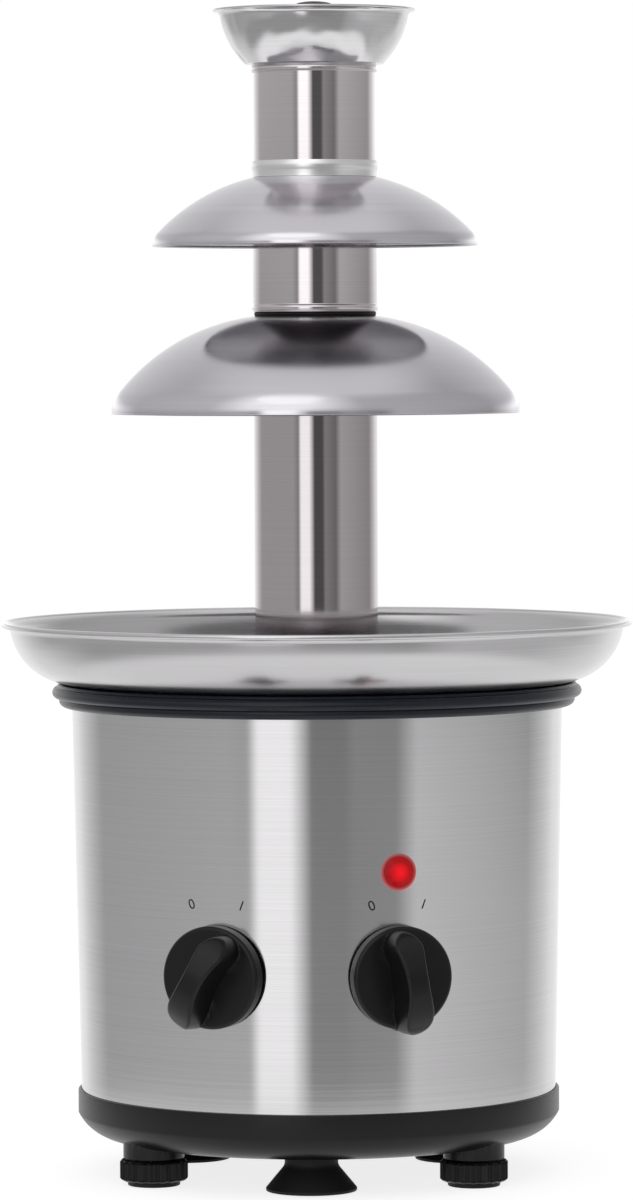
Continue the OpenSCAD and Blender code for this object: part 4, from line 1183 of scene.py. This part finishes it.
class FOUNTAIN_OT_auger(bpy.types.Operator):
    """Model the auger: a flight wound round a core with a rounded tip"""

    bl_idname = "fountain.auger"
    bl_label = "Auger"

    def core(self):
        """The core with its rounded tip and the socket for the drive."""
        core = sizes().auger_core
        bottom = low("auger").z
        tip = high("auger").z
        tip_radius = core - 0.5 * MM
        tip_foot = tip - 7 * MM
        ball = 4 * tip_radius
        swing = degrees(asin(tip_radius / ball))
        socket = 3 * MM
        socket_top = bottom + 14.4 * MM
        outline = [(0, tip)] + arc((0, tip - ball), ball, 90, 90 - swing)[1:]
        outline += [(tip_radius, tip_foot), (core, tip_foot), (core, bottom), (socket, bottom),
                    (socket, socket_top), (0, socket_top)]
        return lathe("auger_screw", outline, SMALL_STEPS)

    def flight(self):
        """The flight: a section that is wound up along the core."""
        size = sizes()
        thickness = size.flight_thickness
        margin = 1 * MM
        inner = size.auger_core - margin
        outer = high("auger").x
        foot = low("auger").z + margin
        head = high("upper_tube").z - margin
        soft = thickness * 0.3
        turn_steps = 48
        section = rounded([(inner, foot, 0), (outer, foot, soft), (outer, foot + thickness, soft),
                           (inner, foot + thickness, 0)])
        ring = [(r, 0.0, z) for r, z in section]
        blade = wire("auger_flight", ring + ring[:1])
        bpy.ops.object.mode_set(mode="OBJECT")
        rise = head - foot - thickness
        turns = rise / size.auger_pitch
        wind = blade.modifiers.new("Wind", "SCREW")
        wind.axis = "Z"
        wind.angle = 2 * pi * turns
        wind.screw_offset = rise
        wind.steps = ceil(turn_steps * turns)
        wind.render_steps = wind.steps
        bpy.ops.object.modifier_apply(modifier=wind.name)
        bpy.ops.object.mode_set(mode="EDIT")
        bpy.ops.mesh.select_all(action="SELECT")
        bpy.ops.mesh.fill_holes(sides=0)
        clean()
        return settle(blade, Matrix.Rotation(2 * pi * thickness / size.auger_pitch, 4, "Z"))

    def execute(self, context):
        screw = self.core()
        combine(screw, [self.flight()], "UNION")
        dress(screw, "black_plastic", "auger", "auger")
        return {"FINISHED"}


def suction_outline():
    """Half section of a suction cup, from the top of its plug round to its hollow."""
    bottom = low("suction_cup_front").z
    top = high("suction_cup_front").z
    rim = (high("suction_cup_front").x - low("suction_cup_front").x) / 2
    tray = low("base_tray").z + sizes().boss_height
    floor = tray + sizes().tray_floor
    plug = sizes().plug_radius
    head = 7 * MM
    neck = 8.5 * MM
    neck_foot = tray * 0.72
    hollow = bottom + 3.4 * MM
    lip = 0.9 * MM
    bend = 3 * MM
    return rounded([
        (0, top, 0), (head, top, 0.8 * MM), (head, floor, 0.3 * MM), (plug, floor, 0), (plug, tray, 0),
        (neck, tray, 0.6 * MM), (neck, neck_foot, bend), (rim, bottom + lip, 0.4 * MM),
        (rim, bottom, 0.3 * MM), (rim - lip, bottom, 0), (neck, hollow, bend), (0, hollow, 0)])


def fluted_outline(radius):
    """Points round a knob with hollow flutes."""
    flutes = 18
    flute = 1.1 * MM
    depth = 0.55 * MM
    steps = 10
    points = []
    for i in range(flutes * steps):
        angle = 2 * pi * i / (flutes * steps)
        off = abs((i % steps) - steps / 2) / (steps / 2)
        across = (1 - off) * pi * radius / flutes
        hollow = sqrt(max(flute * flute - across * across, 0)) - (flute - depth)
        reach = radius - max(hollow, 0)
        points.append((reach * cos(angle), reach * sin(angle)))
    return points


class FOUNTAIN_OT_feet(bpy.types.Operator):
    """Model the suction cups and the levelling feet"""

    bl_idname = "fountain.feet"
    bl_label = "Feet"

    def suction_cups(self):
        """The three suction cups."""
        model = lathe("suction_model", suction_outline(), KNOB_STEPS)
        for side in SUCTION_SIDES:
            name = "suction_cup_" + side
            spot = middle(name)
            cup = copy_piece(model, name + "_rubber", Matrix.Translation((spot.x, spot.y, 0)))
            dress(cup, "rubber", "base", name)
        bpy.data.objects.remove(model)

    def levelling_knob(self, bottom, top):
        """A fluted knob: an outline that is filled, raised and bevelled."""
        edge = 0.6 * MM
        level_face = 0.9
        ring = [(x, y, bottom + edge) for x, y in fluted_outline(sizes().level_radius)]
        knob = wire("levelling_model", ring + ring[:1])
        bpy.ops.mesh.edge_face_add()
        bpy.ops.mesh.extrude_region_move(TRANSFORM_OT_translate={"value": (0, 0, top - bottom - 2 * edge)})
        bpy.ops.mesh.select_all(action="SELECT")
        bpy.ops.mesh.normals_make_consistent(inside=False)
        bpy.ops.object.mode_set(mode="OBJECT")
        for face in knob.data.polygons:
            face.select = abs(face.normal.z) > level_face
        bpy.ops.object.mode_set(mode="EDIT")
        bpy.ops.mesh.select_mode(type="FACE")
        bpy.ops.mesh.inset(thickness=edge / 2, depth=edge / 2, use_individual=True)
        bpy.ops.mesh.inset(thickness=edge, depth=edge / 2, use_individual=True)
        bpy.ops.mesh.select_mode(type="VERT")
        clean()
        return knob

    def execute(self, context):
        self.suction_cups()
        size = sizes()
        bottom = high("levelling_pad_left").z
        knob_top = low("base_tray").z - size.knob_gap
        stud_top = high("levelling_knob_left").z
        pad_radius = (high("levelling_pad_left").x - low("levelling_pad_left").x) / 2
        soft = 0.4 * MM
        stud_foot = knob_top - soft
        knob = self.levelling_knob(bottom, knob_top)
        stud = lathe("stud_model", rounded([
            (0, stud_foot, 0), (size.stud_radius, stud_foot, 0), (size.stud_radius, stud_top, soft),
            (0, stud_top, 0)]), SMALL_STEPS)
        pad = lathe("pad_model", rounded([
            (0, 0, 0), (pad_radius, 0, soft), (pad_radius, bottom, 0), (0, bottom, 0)]), SMALL_STEPS)
        for side in LEVEL_SIDES:
            spot = middle("levelling_pad_" + side)
            place = Matrix.Translation((spot.x, spot.y, 0))
            turning = copy_piece(knob, "levelling_grip_" + side, place)
            dress(turning, "black_plastic", "foot_knob_" + side, "levelling_knob_" + side)
            dress(copy_piece(stud, "levelling_stud_" + side, place), "plated_steel", "foot_knob_" + side)
            standing = copy_piece(pad, "levelling_foot_" + side, place)
            dress(standing, "rubber", "foot_pad_" + side, "levelling_pad_" + side)
        for model in (knob, stud, pad):
            bpy.data.objects.remove(model)
        return {"FINISHED"}


# The studio

# Brightness of the studio at eye level, by degrees from the front towards the right: a strip light left of
# the middle with a dark screen beside it, grey side walls and a white back wall
WALLS = ((-180, 1.0), (-150, 1.0), (-120, 0.45), (-40, 0.45), (-30, 0.3), (-25, 1.4), (-10, 1.4), (0, 0.1),
         (15, 0.1), (20, 0.3), (40, 0.2), (50, 0.5), (120, 0.35), (150, 1.0), (180, 1.0))
# The same below eye level, where the screens are paler
LOW_WALLS = ((-180, 1.0), (-150, 1.0), (-120, 0.5), (-30, 0.6), (-25, 1.3), (-10, 1.3), (0, 0.35), (15, 0.35),
             (40, 0.4), (50, 0.8), (120, 0.6), (150, 1.0), (180, 1.0))
# The same above eye level, where a broad softbox stands over the strip light
HIGH_WALLS = ((-180, 0.9), (-120, 0.6), (-60, 0.7), (-35, 1.3), (0, 1.3), (30, 0.6), (120, 0.5), (180, 0.9))
# The same for the floor round the table, grey in front and white behind
FLOOR_EDGE = ((-180, 1.0), (-140, 0.9), (-100, 0.45), (40, 0.4), (60, 0.6), (100, 0.6), (140, 0.9),
              (180, 1.0))
# Brightness straight above, of the floor under the table and of the table
OVERHEAD = 0.85
FLOOR = 1.2
TABLE = 0.95
# How much brighter the walls are just above eye level
ABOVE_EYE = 1.3
# Upright parts of the directions between which one zone goes over to the next
ABOVE_EYE_ZONE = (0.012, 0.03)
LOW_ZONE = (-0.07, -0.10)
EDGE_ZONE = (-0.25, -0.38)
FLOOR_ZONE = (-0.55, -0.75)
HIGH_ZONE = (0.05, 0.20)
TOP_ZONE = (0.72, 0.96)
# Radii between which the table ends, as the steel mirrors it
TABLE_EDGE = (0.20, 0.28)
# Grey of the floor as it lights the fountain, and its grey and glow as the camera sees it
FLOOR_GREY = 0.85
SHADOW_GREY = 0.30
FLOOR_GLOW = 0.82
FLOOR_WIDTH = 8.0
# The softbox, in metres, and the width of the camera's sensor, in millimetres
SOFTBOX_WIDTH = 0.8
SOFTBOX_PLACE = (-0.25, -0.95, 1.25)
SOFTBOX_AIM = (0, 0, 0.25)
SENSOR_WIDTH = 36


def studio_tone(tree, x, y, walls):
    """The studio's brightness in a level direction."""
    turn = math(tree, "ARCTAN2", x, math(tree, "MULTIPLY", y, -1.0))
    wrap = node(tree, "ShaderNodeValToRGB")
    tree.links.new(math(tree, "ADD", math(tree, "DIVIDE", turn, 2 * pi), 0.5), wrap.inputs[0])
    fill_ramp(wrap, [(degree / 360 + 0.5, grey(value)) for degree, value in walls])
    return wrap.outputs["Color"]


def either(tree, mask, first, second):
    """A shader between two, by a mask."""
    made = node(tree, "ShaderNodeMixShader")
    for output, socket in zip((mask, first, second), made.inputs):
        tree.links.new(output, socket)
    return made.outputs[0]


def matt(tree, value):
    """A matt grey shader."""
    made = node(tree, "ShaderNodeBsdfDiffuse")
    made.inputs["Color"].default_value = grey(value)
    return made.outputs[0]


def glow(tree, tint, strength):
    """A shader that gives light."""
    made = node(tree, "ShaderNodeEmission")
    made.inputs["Color"].default_value = tint
    made.inputs["Strength"].default_value = strength
    return made.outputs[0]


def add_floor():
    """A white floor that keeps the fountain's shadow. The steel mirrors a small table in its place."""
    bpy.ops.object.select_all(action="DESELECT")
    bpy.ops.mesh.primitive_plane_add(size=FLOOR_WIDTH)
    floor = bpy.context.active_object
    floor.name = "floor"
    material = bpy.data.materials.new("floor_white")
    material.use_nodes = True
    tree = material.node_tree
    tree.nodes.remove(tree.nodes["Principled BSDF"])
    path = node(tree, "ShaderNodeLightPath")
    seen = node(tree, "ShaderNodeAddShader")
    tree.links.new(matt(tree, SHADOW_GREY), seen.inputs[0])
    tree.links.new(glow(tree, grey(1.0), FLOOR_GLOW), seen.inputs[1])
    out = node(tree, "ShaderNodeVectorMath", operation="LENGTH")
    tree.links.new(object_place(tree), out.inputs[0])
    edge = mapped(tree, out.outputs["Value"], TABLE_EDGE, WHOLE, "SMOOTHSTEP")
    clear = node(tree, "ShaderNodeBsdfTransparent").outputs[0]
    mirrored = either(tree, edge, glow(tree, grey(TABLE), 1.0), clear)
    lighting = either(tree, path.outputs["Is Glossy Ray"], matt(tree, FLOOR_GREY), mirrored)
    choice = either(tree, path.outputs["Is Camera Ray"], lighting, seen.outputs[0])
    tree.links.new(choice, tree.nodes["Material Output"].inputs["Surface"])
    floor.data.materials.append(material)


def add_studio():
    """A world that is white to the camera, and grey in front and white behind for the fountain."""
    world = bpy.data.worlds.new("studio")
    bpy.context.scene.world = world
    world.use_nodes = True
    tree = world.node_tree
    x, y, z = parts(tree, node(tree, "ShaderNodeTexCoord").outputs["Generated"])
    level = node(tree, "ShaderNodeVectorMath", operation="SCALE")
    tree.links.new(studio_tone(tree, x, y, WALLS), level.inputs[0])
    tree.links.new(mapped(tree, z, ABOVE_EYE_ZONE, (1.0, ABOVE_EYE)), level.inputs["Scale"])
    zones = ((LOW_ZONE, studio_tone(tree, x, y, LOW_WALLS)), (EDGE_ZONE, studio_tone(tree, x, y, FLOOR_EDGE)),
             (FLOOR_ZONE, grey(FLOOR)), (HIGH_ZONE, studio_tone(tree, x, y, HIGH_WALLS)),
             (TOP_ZONE, grey(OVERHEAD)))
    brightness = level.outputs["Vector"]
    for zone, beyond in zones:
        brightness = blend(tree, mapped(tree, z, zone, WHOLE, "SMOOTHSTEP"), brightness, beyond)
    room = tree.nodes["Background"]
    tree.links.new(brightness, room.inputs["Color"])
    white = node(tree, "ShaderNodeBackground")
    white.inputs["Color"].default_value = grey(1.0)
    camera_ray = node(tree, "ShaderNodeLightPath").outputs["Is Camera Ray"]
    choice = either(tree, camera_ray, room.outputs[0], white.outputs[0])
    tree.links.new(choice, tree.nodes["World Output"].inputs["Surface"])


def aimed(place, target, roll=0.0):
    """A matrix at a place that looks at a target."""
    look = (Vector(target) - Vector(place)).to_track_quat("-Z", "Y").to_matrix().to_4x4()
    return Matrix.Translation(place) @ look @ Matrix.Rotation(roll, 4, "Z")


def add_softbox(power):
    """A softbox in front and above."""
    lamp = bpy.data.lights.new("softbox", "AREA")
    lamp.shape = "DISK"
    lamp.size = SOFTBOX_WIDTH
    lamp.energy = power
    box = bpy.data.objects.new("softbox", lamp)
    bpy.context.collection.objects.link(box)
    box.matrix_world = aimed(SOFTBOX_PLACE, SOFTBOX_AIM)


class FOUNTAIN_OT_stage(bpy.types.Operator):
    """Set up the floor, the studio light and the camera"""

    bl_idname = "fountain.stage"
    bl_label = "Stage"

    def execute(self, context):
        light = context.scene.fountain_light
        add_floor()
        add_studio()
        add_softbox(light.softbox)
        lens = bpy.data.cameras.new("camera")
        lens.lens = light.lens
        lens.sensor_width = SENSOR_WIDTH
        camera = bpy.data.objects.new("camera", lens)
        context.collection.objects.link(camera)
        eye = (light.distance * sin(light.azimuth), -light.distance * cos(light.azimuth), light.eye_height)
        camera.matrix_world = aimed(eye, (0, 0, light.aim_height), light.roll)
        context.scene.camera = camera
        context.scene.view_settings.view_transform = "Standard"
        return {"FINISHED"}


OPERATORS = (FOUNTAIN_OT_inner, FOUNTAIN_OT_tubes, FOUNTAIN_OT_canopies, FOUNTAIN_OT_cup, FOUNTAIN_OT_bowl,
             FOUNTAIN_OT_collar, FOUNTAIN_OT_sleeve, FOUNTAIN_OT_tray, FOUNTAIN_OT_knobs, FOUNTAIN_OT_marks,
             FOUNTAIN_OT_lamp, FOUNTAIN_OT_gland, FOUNTAIN_OT_auger, FOUNTAIN_OT_feet, FOUNTAIN_OT_stage)


class FOUNTAIN_PT_panel(bpy.types.Panel):
    """The fountain's pieces and settings"""

    bl_idname = "FOUNTAIN_PT_panel"
    bl_label = "Chocolate fountain"
    bl_space_type = "VIEW_3D"
    bl_region_type = "UI"
    bl_category = "Fountain"

    def draw(self, context):
        for operator in OPERATORS:
            self.layout.operator(operator.bl_idname)
        for group in ("fountain_sizes", "fountain_finish", "fountain_light"):
            settings = getattr(context.scene, group)
            for name in settings.__annotations__:
                self.layout.prop(settings, name)


CLASSES = (FountainSizes, FountainFinish, FountainLight, *OPERATORS, FOUNTAIN_PT_panel)


def register():
    """Register the classes and hang the settings on the scene."""
    for entry in CLASSES:
        bpy.utils.register_class(entry)
    bpy.types.Scene.fountain_sizes = PointerProperty(type=FountainSizes)
    bpy.types.Scene.fountain_finish = PointerProperty(type=FountainFinish)
    bpy.types.Scene.fountain_light = PointerProperty(type=FountainLight)


def unregister():
    """Take the settings and the classes away."""
    del bpy.types.Scene.fountain_light
    del bpy.types.Scene.fountain_finish
    del bpy.types.Scene.fountain_sizes
    for entry in reversed(CLASSES):
        bpy.utils.unregister_class(entry)


def main():
    """Build the fountain and its stage."""
    register()
    for operator in OPERATORS:
        group, name = operator.bl_idname.split(".")
        getattr(getattr(bpy.ops, group), name)()


if __name__ == "__main__":
    main()
